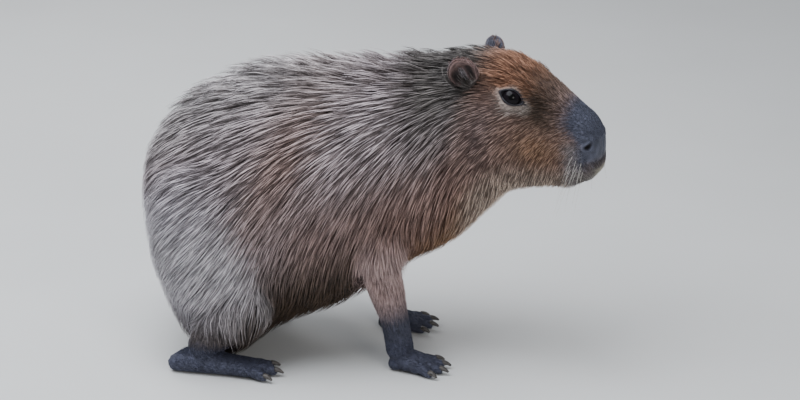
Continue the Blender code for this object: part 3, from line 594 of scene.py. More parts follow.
# %% Union of the flesh
union = trunk_skin.modifiers.new("union", "BOOLEAN")
parts_of_flesh = bpy.data.collections.new("flesh")
for piece in legs + ears:
    parts_of_flesh.objects.link(piece)
union.operand_type, union.collection = "COLLECTION", parts_of_flesh
union.operation, union.solver = "UNION", "MANIFOLD"
trunk_skin.modifiers.new("faces", "TRIANGULATE")
skin = applied(trunk_skin)
skin.name = "skin"
for piece in legs + ears:
    bpy.data.objects.remove(piece)
bpy.data.collections.remove(parts_of_flesh)
print("skin:", len(skin.data.polygons), "triangles")


def array_of(mesh, what, key, width, kind=float):
    """One value of every vertex, edge or face, read as an array."""
    items = getattr(mesh, what)
    values = np.zeros(len(items) * width, kind)
    items.foreach_get(key, values)
    return values.reshape(-1, width) if width > 1 else values


def neighbour_mean(values, edges, count):
    """Mean of each point's neighbours: sums over edges, divided by how many edges there are."""
    both = np.concatenate([edges, edges[:, ::-1]])
    ends = np.bincount(both[:, 0], minlength=count)
    sums = [np.bincount(both[:, 0], values[both[:, 1], k], count) for k in range(values.shape[1])]
    return np.stack(sums, 1) / np.maximum(ends, 1)[:, None]


def limb_distance(points, table):
    """Distance to a leg's surface, and how far down the leg: the nearest of many small balls."""
    row = smooth_rows(table, np.linspace(0, len(table) - 1, 36))
    best, share = np.full(len(points), 9.0), np.zeros(len(points))
    for k, ball in enumerate(row):
        gap = np.linalg.norm(points - ball[:3], axis=1) - (ball[3] + ball[4]) / 2
        nearer = gap < best
        best[nearer], share[nearer] = gap[nearer], k / (len(row) - 1)
    return best, share


def thigh_distance(points, side):
    """Rough distance to the thigh: how far outside the ellipsoid, times its mean half width."""
    centre = np.array(THIGH_CENTRE) * [1, SIDES[side], 1] + [HIND_STAGGER[side], 0, 0] - MIDDLE
    c, s = math.cos(THIGH_LEAN), math.sin(THIGH_LEAN)
    p = points - centre
    local = np.stack([p[:, 0] * c - p[:, 2] * s, p[:, 1], p[:, 0] * s + p[:, 2] * c], 1)
    return (np.linalg.norm(local / THIGH_SIZE, axis=1) - 1) * 0.075


def trunk_distance(points):
    """Rough height above the trunk's skin: how far the point reaches beyond its section."""
    along, t, side, _, _ = locate(points)
    row = smooth_rows(SECTIONS, t)
    half, tall = np.maximum(row[:, 3] - row[:, 6], 0.01), np.maximum((row[:, 1] - row[:, 2]) / 2 - row[:, 6], 0.01)
    up = (points[:, 2] - (row[:, 1] + row[:, 2]) / 2) / tall
    wide = side / (half * (1 - row[:, 5] * np.clip(up, -1, 1)))
    reach = (np.abs(wide) ** row[:, 4] + np.abs(up) ** row[:, 4]) ** (1 / row[:, 4])
    return (reach - 1) * np.minimum(half, tall)


def legs_of(points):
    """For each leg its distance and how far down it the point is."""
    found = {}
    for side in SIDES:
        found["fore_" + side] = limb_distance(points, moved_rows(FORELEG, side, FORE_STAGGER[side]))
        found["hind_" + side] = limb_distance(points, moved_rows(SHANK, side, HIND_STAGGER[side]))
    return found


points = array_of(skin.data, "vertices", "co", 3)
edges = array_of(skin.data, "edges", "vertices", 2, int)
body = np.abs(trunk_distance(points))
limb = np.minimum.reduce([np.abs(d) for d, _ in legs_of(points).values()] + [np.abs(thigh_distance(points, s)) for s in SIDES])
along = locate(points)[0]
fold = (1 - ease(0.006, 0.020, body)) * (1 - ease(0.006, 0.020, limb)) * (1 - ease(0.12, 0.15, along))
fold *= ease(0.050, 0.075, points[:, 2])
haunch = np.minimum.reduce([np.abs(thigh_distance(points, s)) for s in SIDES])
broad = (1 - ease(0.018, 0.050, body)) * (1 - ease(0.014, 0.040, haunch)) * ease(0.17, 0.24, points[:, 2])
for _ in range(150):
    points += broad[:, None] * 0.6 * (neighbour_mean(points, edges, len(points)) - points)
for _ in range(40):
    points += fold[:, None] * 0.5 * (neighbour_mean(points, edges, len(points)) - points)
skin.data.vertices.foreach_set("co", points.astype(np.float32).ravel())
skin.data.update()
print("points softened near folds:", int((fold > 0.3).sum()))

# %% [markdown]
# ## How the coat lies
# Every hair points back along the spine, slants down the flank, and hangs under the belly. On
# the legs it runs down, on the feet towards the toes, round the eye it is short, and on the ears
# it fans out. Each point of the skin gets a direction, a length and a lift, and so a hair only
# has to ask the skin below it. Smoothed normals let the coat bridge the folds where a leg meets
# the trunk.

# %% Lie, length and lift of the coat


def leg_coat(points, share, kind):
    """How far the leg's own coat rules at a place, with its length there."""
    if kind == "fore":
        return ease(0.08, 0.35, share), np.interp(share, (0.1, 0.35, 0.55, 0.8, 1), (0.040, 0.026, 0.014, 0.009, 0.007))
    return ease(0.0, 0.35, share), np.interp(share, (0, 0.5, 1), (0.036, 0.018, 0.009))


def coat_fields(points, normals):
    """Direction, length, lift and density of the coat at each point, by region."""
    along, t, side, fall, heading = locate(points)
    z = points[:, 2]
    depth = smooth_rows(SECTIONS, t)[:, 6]
    stops = (0, 0.1, 0.3, 0.55, 0.8, 1)
    body = np.interp(fall, stops, (4, 16, 38, 60, 76, 82))
    rear = np.interp(fall, stops, (8, 26, 42, 52, 62, 72))
    face = np.interp(fall, stops, (-4, 4, 20, 46, 72, 84))
    slope = body + (rear - body) * (1 - ease(-0.26, -0.14, along))
    slope = np.radians(slope + (face - slope) * ease(0.12, 0.20, along))
    flat = np.cos(slope)
    lie = np.stack([-np.cos(heading) * flat, np.sin(heading) * flat, -np.sin(slope)], 1)
    stops = (-0.39, -0.2, 0.08, 0.14, 0.175, 0.21, 0.26, 0.33, 0.355, 0.381)
    length = np.interp(along, stops, (0.064, 0.074, 0.070, 0.060, 0.044, 0.025, 0.0185, 0.0130, 0.0070, 0.0038))
    jaw = ease(0.55, 0.85, fall) * ease(0.10, 0.16, along) * (1 - ease(0.29, 0.35, along))
    length = np.maximum(length, length + (0.030 - length) * jaw)
    behind = ease(0.30, 0.50, fall) * (1 - ease(0.225, 0.27, along)) * ease(0.10, 0.16, along)
    length = np.maximum(length, length + (0.030 - length) * behind)
    crown = ease(0.14, 0.18, along) * (1 - ease(0.30, 0.36, along)) * (1 - ease(0.05, 0.25, fall))
    lift = np.where(depth > 0.004, depth * 0.96, 0)
    lift = np.maximum(lift, length * (0.17 + 0.16 * crown))
    hang = ease(0.80, 0.96, fall) * ease(0.16, 0.22, along) * (1 - ease(0.345, 0.372, along))
    lift = lift + jaw * 0.003 + hang * 0.009
    dense = np.interp(along, (-0.39, 0.10, 0.16, 0.20, 0.24, 0.36), (76e3, 79e3, 98e3, 168e3, 242e3, 370e3))
    fringe = ease(0.360, 0.374, along) * (1 - ease(0.370, 0.378, z)) * ease(0.338, 0.346, z)
    ahead = np.stack([np.cos(heading) * 0.9, -np.sin(heading) * 0.9, -1 + 0 * z], 1)
    lie = lie + (ahead - lie) * fringe[:, None]
    length = length + (0.0105 - length) * fringe
    lift = lift + (0.0036 - lift) * fringe
    dense = dense + (480e3 - dense) * fringe

    down = np.array([[0.10, 0, -1.0]])
    for side_name in SIDES:
        for kind, table, shift in (("fore", FORELEG, FORE_STAGGER), ("hind", SHANK, HIND_STAGGER)):
            gap, share = limb_distance(points, moved_rows(table, side_name, shift[side_name]))
            rules, leg_length = leg_coat(points, share, kind)
            on = (1 - ease(0.004, 0.016, gap)) * rules
            lie = lie + (down - lie) * on[:, None]
            length = length + (leg_length - length) * on
            lift = lift + (leg_length * 0.20 - lift) * on
            dense = dense + (np.interp(leg_length, (0.007, 0.02, 0.04), (260e3, 150e3, 90e3)) - dense) * on
    on_foot = (1 - ease(0.030, 0.050, z)) * ((np.abs(trunk_distance(points)) > 0.010) | (along > -0.1))
    ahead = np.array([[1.0, 0, -0.25]])
    lie = lie + (ahead - lie) * on_foot[:, None]
    length = length + (0.0050 - length) * on_foot
    lift = lift + (0.0010 - lift) * on_foot
    dense = dense + (260e3 - dense) * on_foot
    for side_name, sign in SIDES.items():
        q, long, high, rise, _ = almond(points, side_name)
        ring = (1 - ease(1.2, 2.6, q)) * (np.abs(rise) < 0.02) * (side * sign > 0)
        length = length + (0.0050 - length) * ring
        lift = lift + (0.0007 - lift) * ring
        centre, turn, out = ear_frame(side_name)
        local = (points - centre) @ turn / EAR_SIZE
        on_ear = (np.linalg.norm(local, axis=1) < 1.25) & (local[:, 2] > -0.72)
        fan = np.stack([local[:, 0], 0 * local[:, 0], local[:, 2] + 0.5], 1) @ turn.T
        lie[on_ear] = fan[on_ear]
        length[on_ear], lift[on_ear], dense[on_ear] = 0.0100, 0.0024, 390e3
        inside = on_ear & (local[:, 1] * out > -0.75) & (np.linalg.norm(local[:, [0, 2]], axis=1) < 0.86)
        length[inside], lift[inside], dense[inside] = 0.0150, 0.0060, 160e3
        lie[inside] = turn @ np.array([0.1, 0, 1.0])
    return across(lie, normals), length, lift, dense


def bare_places(points, normals):
    """1 where no hair grows: round the nostrils, eyes, the ears' cups and the soles."""
    along, _, side, fall, _ = locate(points)
    z = points[:, 2]
    bare = ease(0.374, 0.380, along) * ease(0.376, 0.382, z) * (1 - ease(0.404, 0.412, z))
    for side_name, sign in SIDES.items():
        q, _, _, rise, _ = almond(points, side_name)
        bare = np.maximum(bare, (q < 1.16) * (np.abs(rise) < 0.02) * (side * sign > 0))
        nostril = feature_frame(NOSTRIL_AT, NOSTRIL_ANGLE, side_name)[0]
        bare = np.maximum(bare, 1 - ease(0.009, 0.013, np.linalg.norm(points - nostril, axis=1)))
        centre, turn, out = ear_frame(side_name)
        local = (points - centre) @ turn / EAR_SIZE
        cup = (np.linalg.norm(local[:, [0, 2]], axis=1) < 0.86) & (local[:, 1] * out > -0.75) & (np.abs(local[:, 1]) < 1)
        cup &= (normals @ turn)[:, 1] * out > -0.1
        haired = (np.abs(local[:, 0] + 0.10) < 0.26) & (local[:, 2] < 0.0)
        bare = np.maximum(bare, cup & ~haired)
    return np.maximum(bare, (z < 0.005) & (normals[:, 2] < -0.3))


normals = array_of(skin.data, "vertices", "normal", 3)
smooth_normals = normals.copy()
body_share = 1 - ease(0.13, 0.20, along)[:, None] * 0.85
for _ in range(60):
    smooth_normals += body_share * 0.7 * (neighbour_mean(smooth_normals, edges, len(points)) - smooth_normals)
smooth_normals = unit(smooth_normals)
lie, length, lift, dense = coat_fields(points, smooth_normals)
for _ in range(30):
    lie = across(neighbour_mean(lie, edges, len(points)), smooth_normals)
bare = bare_places(points, normals)
print("hair length from", round(float(length.min()), 4), "to", round(float(length.max()), 4))

# %% [markdown]
# ## Markings
# Up close a capybara's hair is dark at the root and pale at the tip, and the mix changes over
# the body: silvery brown on the back, where the silver is partly painted sheen, dark under the
# belly, partly its own colour and partly painted shade, rust on the forehead, golden on the
# cheek, slate on the nose and the feet. More light and shade are painted in: a pale painted
# sheen on the rump and the thigh, and painted shade at the nape, in a dark greenish-brown band
# between eye and nose, under the nose, in the nostrils, in the ears' cups and on the far ear's
# slate back. Skin and coat share one function that gives a dark and a pale colour for any place.

# %% Markings


def markings(points):
    """Dark and pale colour at each place: later regions are laid over earlier ones by their share."""
    along, _, side, fall, _ = locate(points)
    z = points[:, 2]
    dark = np.tile([0.066, 0.046, 0.038], (len(points), 1))
    pale = np.tile([0.800, 0.690, 0.720], (len(points), 1))

    def over(share, new_dark, new_pale):
        share = np.clip(share, 0, 1)[:, None]
        dark[:] += (np.array(new_dark) - dark) * share
        pale[:] += (np.array(new_pale) - pale) * share

    over(ease(0.22, 0.55, fall) * ease(-0.22, -0.05, along), (0.085, 0.054, 0.047), (0.560, 0.392, 0.356))
    # Low down the coat darkens, and from the haunch forward the underside is painted almost black: partly the belly's
    # own darker colour, partly painted shade under the body.
    low_down = ease(0.52, 0.82, fall)
    over(low_down, (0.030, 0.020, 0.014), (0.300, 0.215, 0.160))
    over(low_down * ease(-0.36, -0.26, along), (0.009, 0.006, 0.004), (0.115, 0.072, 0.043))
    # The top of the back is painted near white: partly the pale tips of its hair, partly painted sheen of the overhead
    # light.
    over(0.8 * (1 - ease(0.0, 0.22, fall)) * (1 - ease(-0.05, 0.06, along)), (0.160, 0.140, 0.138), (1.00, 0.95, 0.95))
    # The upper rump is painted pale and bluish: painted sheen, the reflection of a cool sky.
    rump = (1 - ease(-0.30, -0.16, along)) * ease(0.15, 0.35, fall) * (1 - ease(0.6, 0.95, fall))
    over(0.8 * rump, (0.082, 0.072, 0.084), (0.95, 0.90, 1.00))
    band = hill(along + 0.08 + 0.30 * (fall - 0.2), 0.05) * hill(fall - 0.28, 0.20)
    over(0.7 * band, (0.080, 0.040, 0.028), (0.620, 0.400, 0.330))
    # The nape behind the head is painted almost black: painted shade.
    over(0.85 * ease(0.05, 0.13, along) * (1 - ease(0.15, 0.55, fall)), (0.010, 0.0095, 0.0088), (0.165, 0.154, 0.134))
    shoulder = ease(-0.02, 0.06, along) * ease(0.35, 0.7, fall)
    over(shoulder * 0.9, (0.100, 0.055, 0.042), (0.570, 0.360, 0.300))
    chest = ease(0.04, 0.10, along) * ease(0.62, 0.85, fall)
    over(chest, (0.080, 0.032, 0.014), (0.460, 0.265, 0.150))
    head = ease(0.155, 0.210, along - 0.030 * (1 - ease(0.12, 0.34, fall)))
    over(head, (0.070, 0.038, 0.031), (0.480, 0.320, 0.265))
    over(head * (1 - ease(0.10, 0.30, fall)) * (1 - ease(0.285, 0.325, along)), (0.085, 0.031, 0.016), (0.680, 0.350, 0.215))
    # A dark greenish-brown band before the eye: painted shade.
    painted_shade_band = hill(along - 0.301, 0.033) * (1 - ease(0.22, 0.44, fall)) * (0.75 + 0.25 * ease(0.02, 0.12, fall))
    over(painted_shade_band * 0.95, (0.012, 0.009, 0.006), (0.057, 0.039, 0.026))
    temple = hill(along - 0.212, 0.026) * hill(fall - 0.42, 0.20)
    over(temple * 0.7, (0.062, 0.040, 0.040), (0.400, 0.300, 0.290))
    cheek = hill(along - 0.300, 0.040) * hill(fall - 0.55, 0.20)
    over(cheek * 0.8, (0.085, 0.038, 0.020), (0.480, 0.280, 0.160))
    jaw = ease(0.14, 0.20, along) * ease(0.64, 0.86, fall)
    over(jaw * 0.85, (0.100, 0.062, 0.045), (1.00, 0.80, 0.65))
    muzzle = ease(0.328, 0.352, along) * ease(0.30, 0.45, fall)
    over(muzzle * 0.9, (0.105, 0.092, 0.094), (0.390, 0.355, 0.360))
    edge = 0.360 - 0.022 * ease(0.400, 0.445, z)
    nose = ease(edge - 0.014, edge + 0.012, along) * ease(0.359, 0.380, z)
    over(nose, (0.028, 0.031, 0.046), (0.125, 0.135, 0.195))
    # Darker and reddish under the nose pad: painted shade.
    painted_shade_under_nose = ease(0.364, 0.376, along) * hill(z - 0.366, 0.010)
    over(painted_shade_under_nose * 0.7, (0.080, 0.058, 0.056), (0.230, 0.175, 0.170))
    rim = ease(0.3760, 0.3850, along) * hill(z - 0.3600, 0.0075)
    over(rim * 0.8, (0.150, 0.130, 0.106), (0.920, 0.860, 0.690))
    chin = ease(0.345, 0.370, along) * (1 - ease(0.350, 0.360, z))
    over(chin * 0.6, (0.10, 0.088, 0.076), (0.36, 0.325, 0.28))
    for side_name, sign in SIDES.items():
        q, long, high, rise, _ = almond(points, side_name)
        here = (np.abs(rise) < 0.025) * (side * sign > 0)
        wider = q - 0.60 * ease(0, 0.014, -high) + 0.20 * ease(0, 0.014, -long) - 0.30 * ease(0, 0.016, long)
        over(here * (1 - ease(1.10, 2.10, wider)) * 0.62, (0.145, 0.128, 0.114), (0.520, 0.480, 0.440))
        streak = hill(high + 0.001, 0.0026) * ease(0.014, 0.018, long) * (1 - ease(0.026, 0.032, long))
        over(here * np.maximum(streak, 1 - ease(1.10, 1.24, q)), (0.009, 0.008, 0.011), (0.028, 0.026, 0.038))
        hole = nostril(points, side_name)
        # The nostril's pit is painted almost black: painted shade in the opening.
        over((side * sign > 0) * (1 - ease(0.75, 1.25, hole)), (0.003, 0.003, 0.004), (0.012, 0.011, 0.014))
        centre, turn, out = ear_frame(side_name)
        local = (points - centre) @ turn / EAR_SIZE
        radial = np.linalg.norm(local[:, [0, 2]], axis=1)
        on_ear = (radial < 1.15) & (np.abs(local[:, 1]) < 1.1) & (local[:, 2] > -0.65)
        behind = local[:, 1] * out < 0.2
        # The ears' backs are painted dark bluish slate. The near ear then gets its own pinkish-brown rim, and the far
        # ear keeps the slate: painted shade on the far ear.
        over(on_ear * behind * 0.95, (0.034, 0.036, 0.052), (0.165, 0.165, 0.225))
        if side_name == "right":
            towards_brow = 0.25 + 0.75 * ease(-0.5, 0.5, local[:, 0] + 0.6 * local[:, 2])
            over(on_ear * ease(0.72, 0.84, radial) * towards_brow, (0.070, 0.040, 0.036), (0.340, 0.210, 0.190))
        front = on_ear * (local[:, 1] * out > -0.75) * ~(behind & (radial > 0.86))

        def spot(x, z, wide, tall):
            return front * np.exp(-(((local[:, 0] - x) / wide) ** 4) - ((local[:, 2] - z) / tall) ** 4)

        over(front * (1 - ease(0.95, 1.05, radial)), (0.085, 0.054, 0.050), (0.360, 0.240, 0.225))
        # Two near-black spots in the ear's cup: painted shade in its hollow.
        over(spot(-0.58, -0.20, 0.34, 0.50), (0.009, 0.006, 0.006), (0.030, 0.021, 0.022))
        over(spot(0.42, -0.15, 0.28, 0.58), (0.009, 0.006, 0.006), (0.030, 0.021, 0.022))
        over(spot(-0.10, -0.45, 0.20, 0.50), (0.095, 0.088, 0.100), (0.600, 0.570, 0.610))
    for side_name in SIDES:
        gap, share = limb_distance(points, moved_rows(FORELEG, side_name, FORE_STAGGER[side_name]))
        on = 1 - ease(0.006, 0.020, gap)
        over(on * ease(0.02, 0.22, share), (0.270, 0.176, 0.162), (0.980, 0.720, 0.680))
        over(on * ease(0.42, 0.70, share), (0.040, 0.042, 0.058), (0.142, 0.148, 0.210))
        # A near-white patch high on the thigh: painted sheen.
        gap = thigh_distance(points, side_name)
        over(0.9 * (1 - ease(0.0, 0.03, np.abs(gap))) * hill(z - 0.23, 0.08), (0.36, 0.330, 0.345), (1.0, 0.96, 1.0))
    foot = (1 - ease(0.045, 0.075, z)) * ((np.abs(trunk_distance(points)) > 0.012) | (along > -0.1))
    over(foot, (0.033, 0.035, 0.053), (0.108, 0.117, 0.182))
    return dark, pale


def paint(mesh, name, colours):
    """Stores one colour for each point, for the finishes to read."""
    layer = mesh.attributes.new(name, "FLOAT_COLOR", "POINT")
    layer.data.foreach_set("color", np.c_[colours, np.ones(len(colours))].astype(np.float32).ravel())


skin_dark, skin_pale = markings(points)
paint(skin.data, "coat_dark", skin_dark)
paint(skin.data, "coat_pale", skin_pale)
bareness = np.maximum(ease(0.4, 1.0, bare), 1 - ease(0.0045, 0.010, length))


def store(mesh, name, values):
    """Stores a number or a vector for each point."""
    kind, key = ("FLOAT_VECTOR", "vector") if values.ndim == 2 else ("FLOAT", "value")
    layer = mesh.attributes.new(name, kind, "POINT")
    layer.data.foreach_set(key, values.astype(np.float32).ravel())


covered = ease(0.010, 0.022, length)
for name, values in (("bareness", bareness), ("covered", covered), ("coat_normal", smooth_normals), ("coat_lie", lie)):
    store(skin.data, name, values)
print("markings painted on", len(points), "points")

# %% [markdown]
# ## Roots, spread by chance over the skin
# Roots fall on the skin's triangles by area and by how dense the coat is there, with a fixed
# seed. To follow the body, a tuft steps along the lie three times, and after each step asks for
# the nearest place on the skin. Geometry Nodes answers that for all tufts at once.

# %% Roots
COAT_SEED = 11
dice = np.random.default_rng(COAT_SEED)
corners = array_of(skin.data, "polygons", "vertices", 3, int)


def scatter_roots():
    """Triangles drawn by area times density, and a random place inside each."""
    p = points[corners]
    area = np.linalg.norm(np.cross(p[:, 1] - p[:, 0], p[:, 2] - p[:, 0]), axis=1) / 2
    wanted = area * dense[corners].mean(1) * (bare[corners].max(1) < 0.5)
    count = int(wanted.sum())
    chosen = np.searchsorted(np.cumsum(wanted) / wanted.sum(), np.sort(dice.random(count)))
    a, b = dice.random((2, count))
    flip = a + b > 1
    a[flip], b[flip] = 1 - a[flip], 1 - b[flip]
    return chosen, np.stack([1 - a - b, a, b], 1)


def at_roots(values, chosen, weights):
    """A value of the skin's points, blended inside each root's triangle."""
    taken = values[corners[chosen]]
    return np.einsum("ij,ij...->i...", weights, taken)


def skin_below(places):
    """Nearest place on the skin for each point, with the coat's normal and lie there."""
    cloud = bpy.data.meshes.new("probe")
    cloud.vertices.add(len(places))
    cloud.vertices.foreach_set("co", places.astype(np.float32).ravel())
    probe = bpy.data.objects.new("probe", cloud)
    bpy.context.scene.collection.objects.link(probe)
    tree = bpy.data.node_groups.new("nearest_skin", "GeometryNodeTree")
    tree.interface.new_socket("Geometry", in_out="INPUT", socket_type="NodeSocketGeometry")
    tree.interface.new_socket("Geometry", in_out="OUTPUT", socket_type="NodeSocketGeometry")
    start, end = tree.nodes.new("NodeGroupInput"), tree.nodes.new("NodeGroupOutput")
    source = tree.nodes.new("GeometryNodeObjectInfo")
    source.inputs["Object"].default_value = skin
    flow = start.outputs[0]
    for name in ("found_place", "coat_normal", "coat_lie"):
        sample = tree.nodes.new("GeometryNodeSampleNearestSurface")
        sample.data_type = "FLOAT_VECTOR"
        if name == "found_place":
            value = tree.nodes.new("GeometryNodeInputPosition")
        else:
            value = tree.nodes.new("GeometryNodeInputNamedAttribute")
            value.data_type = "FLOAT_VECTOR"
            value.inputs["Name"].default_value = name
        tree.links.new(source.outputs["Geometry"], sample.inputs["Mesh"])
        tree.links.new(value.outputs[0], sample.inputs["Value"])
        keep = tree.nodes.new("GeometryNodeStoreNamedAttribute")
        keep.data_type, keep.domain = "FLOAT_VECTOR", "POINT"
        keep.inputs["Name"].default_value = name
        tree.links.new(flow, keep.inputs["Geometry"])
        tree.links.new(sample.outputs[0], keep.inputs["Value"])
        flow = keep.outputs[0]
    tree.links.new(flow, end.inputs[0])
    probe.modifiers.new("nearest", "NODES").node_group = tree
    applied(probe)
    found = [array_of_attribute(probe.data, name) for name in ("found_place", "coat_normal", "coat_lie")]
    bpy.data.objects.remove(probe)
    bpy.data.node_groups.remove(tree)
    return found[0], unit(found[1]), unit(found[2])


def array_of_attribute(mesh, name):
    """A stored vector of every point, read as an array."""
    values = np.zeros(len(mesh.vertices) * 3, np.float32)
    mesh.attributes[name].data.foreach_get("vector", values)
    return values.reshape(-1, 3).astype(float)


chosen, weights = scatter_roots()
root = at_roots(points, chosen, weights)
root_length = at_roots(length, chosen, weights)
root_lift = at_roots(lift, chosen, weights)
count = len(root)
print(count, "roots")

# %% [markdown]
# ## Tufts
# A tuft is a few hairs stuck together: a thin three-sided blade, narrow at the root, widest
# near a third of its length, and pointed. It leaves the skin at once, then lies back. Pale
# guard hairs, one tuft in six, ride over the dark underfur, so the coat gets depth and streaks. Neighbours lean together into locks, and on the crest of the back and the nape some
# locks stand out. A long tuft has sixteen triangles and a short one ten, which keeps the whole
# coat within what a model can carry.

# %% Paths of the tufts
LOCK_SPAN, STAND_SPAN, LONG_HAIR = 0.0058, 0.010, 0.0165


def cells(places, span):
    """Number of the small warped block that each place is in: neighbours share one."""
    warp = np.sin(places[:, [1, 2, 0]] * 173.0) * 0.45 + np.sin(places[:, [2, 0, 1]] * 71.0 + 1.3) * 0.6
    block = np.floor(places / span + warp).astype(int)
    return np.unique(block @ [1, 4096, 4096**2], return_inverse=True)[1]


size = dice.uniform(0.72, 1.18, count)
tone = dice.random(count)
stray = dice.normal(0, 1, (count, 3))
long = root_length > LONG_HAIR
guard = tone > np.where(long, 0.84, 0.72)
tuft_length = root_length * size * np.where(guard, 1.12, 0.95)
height = root_lift * np.where(guard, 1.0 + 0.06 * dice.random(count), 0.45 + 0.50 * tone)
places, normals_there, lies = skin_below(root)
root_along, _, root_side, root_fall, _ = locate(root)
crest = ease(0.62, 0.90, normals_there[:, 2]) * (root_fall < 0.4) * (1 - ease(0.19, 0.23, root_along))
crest *= 1 - 0.4 * ease(0.10, 0.16, root_along)
block = cells(root, STAND_SPAN)
stands = crest * long * (dice.random(block.max() + 1)[block] < 0.30)
height += stands * (0.006 + 0.014 * dice.random(block.max() + 1)[block])
height += crest * long * dice.uniform(0.0, 0.0025, count)
crown = ease(0.19, 0.22, root_along) * (1 - ease(0.29, 0.33, root_along)) * (1 - ease(0.12, 0.25, root_fall))
height += crown * (dice.random(block.max() + 1)[block] < 0.25) * dice.uniform(0.001, 0.0045, count)
steps = [(places, normals_there)]
sway = across(stray, normals_there) * (0.06 + 0.06 * dice.random(count))[:, None]
for k in range(3):
    ahead = unit(lies + sway)
    places, normals_there, lies = skin_below(places + ahead * (tuft_length / 3)[:, None])
    steps.append((places, normals_there))
rises = np.array([-0.0006, 0.42, 0.80, 1.0])
path = np.stack([p + n * (rises[k] * height if k else rises[0] + 0 * height)[:, None] for k, (p, n) in enumerate(steps)], 1)
lock = np.where(stands > 0.3, block + 10**6, cells(root, LOCK_SPAN))
lock = np.unique(lock, return_inverse=True)[1]
share_of_lock = np.bincount(lock)[lock][:, None, None]
middle = np.stack([np.bincount(lock, path[:, k, c])[lock] for k in range(4) for c in range(3)], 1).reshape(-1, 4, 3)
firm = long * np.where(guard, 0.25, 0.6) * dice.uniform(0.3, 1.0, count)
firm = np.where(stands > 0.3, dice.uniform(1.2, 1.7, count), firm)
pull = np.array([0, 0.12, 0.34, 0.55])[None, :, None] * firm[:, None, None]
path += pull * (middle / share_of_lock - path)
low, high = [np.array(corner) for corner in cad_box]
low, high = low + 0.0005, high + [-0.0005, -0.0005, 0.0060]
path = np.clip(path, low, high)
path_normal = np.stack([n for _, n in steps], 1)
print("paths reach from", path.min(axis=(0, 1)).round(4), "to", path.max(axis=(0, 1)).round(4))

# %% Blades of the coat
PATCH = 0.003


def blade_triangles(rings):
    """Faces of one blade: three sides between rings, three up to the tip, and one at the root."""
    faces = []
    for k in range(rings - 1):
        for a, b in ((0, 1), (1, 2), (2, 0)):
            faces += [(3 * k + a, 3 * k + b, 3 * k + 3 + b), (3 * k + a, 3 * k + 3 + b, 3 * k + 3 + a)]
    last = 3 * (rings - 1)
    faces += [(last, last + 1, last + 3), (last + 1, last + 2, last + 3), (last + 2, last, last + 3), (2, 1, 0)]
    return np.array(faces)


def unwrap(places):
    """Flat map of the skin's own shape: along and round the trunk, and legs in strips beside it."""
    along, t, side, _, _ = locate(places)
    row = smooth_rows(SECTIONS, t)
    up = places[:, 2] - (row[:, 1] + row[:, 2]) / 2
    turn = np.arctan2(side, up) / (2 * math.pi) + 0.5
    flat = np.stack([0.02 + 0.95 * (along + 0.40) / 0.82, 0.02 + 0.66 * turn], 1)
    strip = 0
    for side_name in SIDES:
        for table, shift in ((FORELEG, FORE_STAGGER), (SHANK, HIND_STAGGER)):
            placed = moved_rows(table, side_name, shift[side_name])
            gap, share = limb_distance(places, placed)
            axis = smooth_rows(placed, share * (len(placed) - 1))
            turn = np.arctan2(places[:, 1] - axis[:, 1], places[:, 0] - axis[:, 0]) / (2 * math.pi) + 0.5
            on = (gap < 0.012) & (share > 0.1)
            leg = np.stack([0.02 + 0.24 * strip + 0.20 * turn, 0.72 + 0.25 * share], 1)
            flat[on] = leg[on]
            strip += 1
    return flat


def blades(name, chosen_tufts, wide, thick, rings):
    """All tufts of one piece: two or three three-cornered rings and a tip for each path."""
    centre, across_path = path[chosen_tufts], path_normal[chosen_tufts]
    if rings == 2:
        centre = np.stack([centre[:, 0], centre[:, 1:3].mean(1), centre[:, 3]], 1)
        across_path = across_path[:, [0, 2, 3]]
    swell = np.array([0.55, 1.0, 0.72] if rings == 3 else [0.7, 1.0])
    run = unit(np.gradient(centre, axis=1))
    sideways = unit(np.cross(run, across_path))
    upwards = np.cross(sideways, run)
    half = (wide[chosen_tufts, None] * swell / 2)[..., None]
    tall = (thick[chosen_tufts, None] * swell)[..., None]
    body, aside, above = centre[:, :rings], sideways[:, :rings], upwards[:, :rings]
    ring = np.stack([body - aside * half, body + aside * half, body + above * tall], 2)
    corners_of = np.concatenate([ring.reshape(len(body), 3 * rings, 3), centre[:, rings:]], 1)
    corners_of = np.clip(corners_of, low, high)
    points_each = 3 * rings + 1
    triangles = (blade_triangles(rings)[None] + points_each * np.arange(len(body))[:, None, None]).reshape(-1, 3)
    made = mesh_of(name, corners_of.reshape(-1, 3), triangles)
    share = np.append(np.repeat(np.arange(rings), 3), rings) / rings
    side_share = np.append(np.tile([0, 1, 0.5], rings), 0.5)
    spot = unwrap(root[chosen_tufts])[:, None] + (np.stack([side_share, share], 1) - 0.5)[None] * PATCH
    layer = made.data.uv_layers.new(name="OFBake")
    layer.data.foreach_set("uv", spot.reshape(-1, 2)[triangles.ravel()].astype(np.float32).ravel())
    return made, share


def colour_blades(made, share, chosen_tufts):
    """Colour along each tuft: dark at the root, paler to the tip, more so where it is bright."""
    dark, pale = root_dark[chosen_tufts], root_pale[chosen_tufts]
    glow = (0.12 + 0.88 * share[None]) ** 0.9 * (0.08 + 0.98 * bright[chosen_tufts, None])
    shade = (dark[:, None] * 0.7 + (pale - dark)[:, None] * glow[..., None]) * varied[chosen_tufts, None, None]
    paint(made.data, "tuft_colour", np.clip(shade, 0.002, 1).reshape(-1, 3))


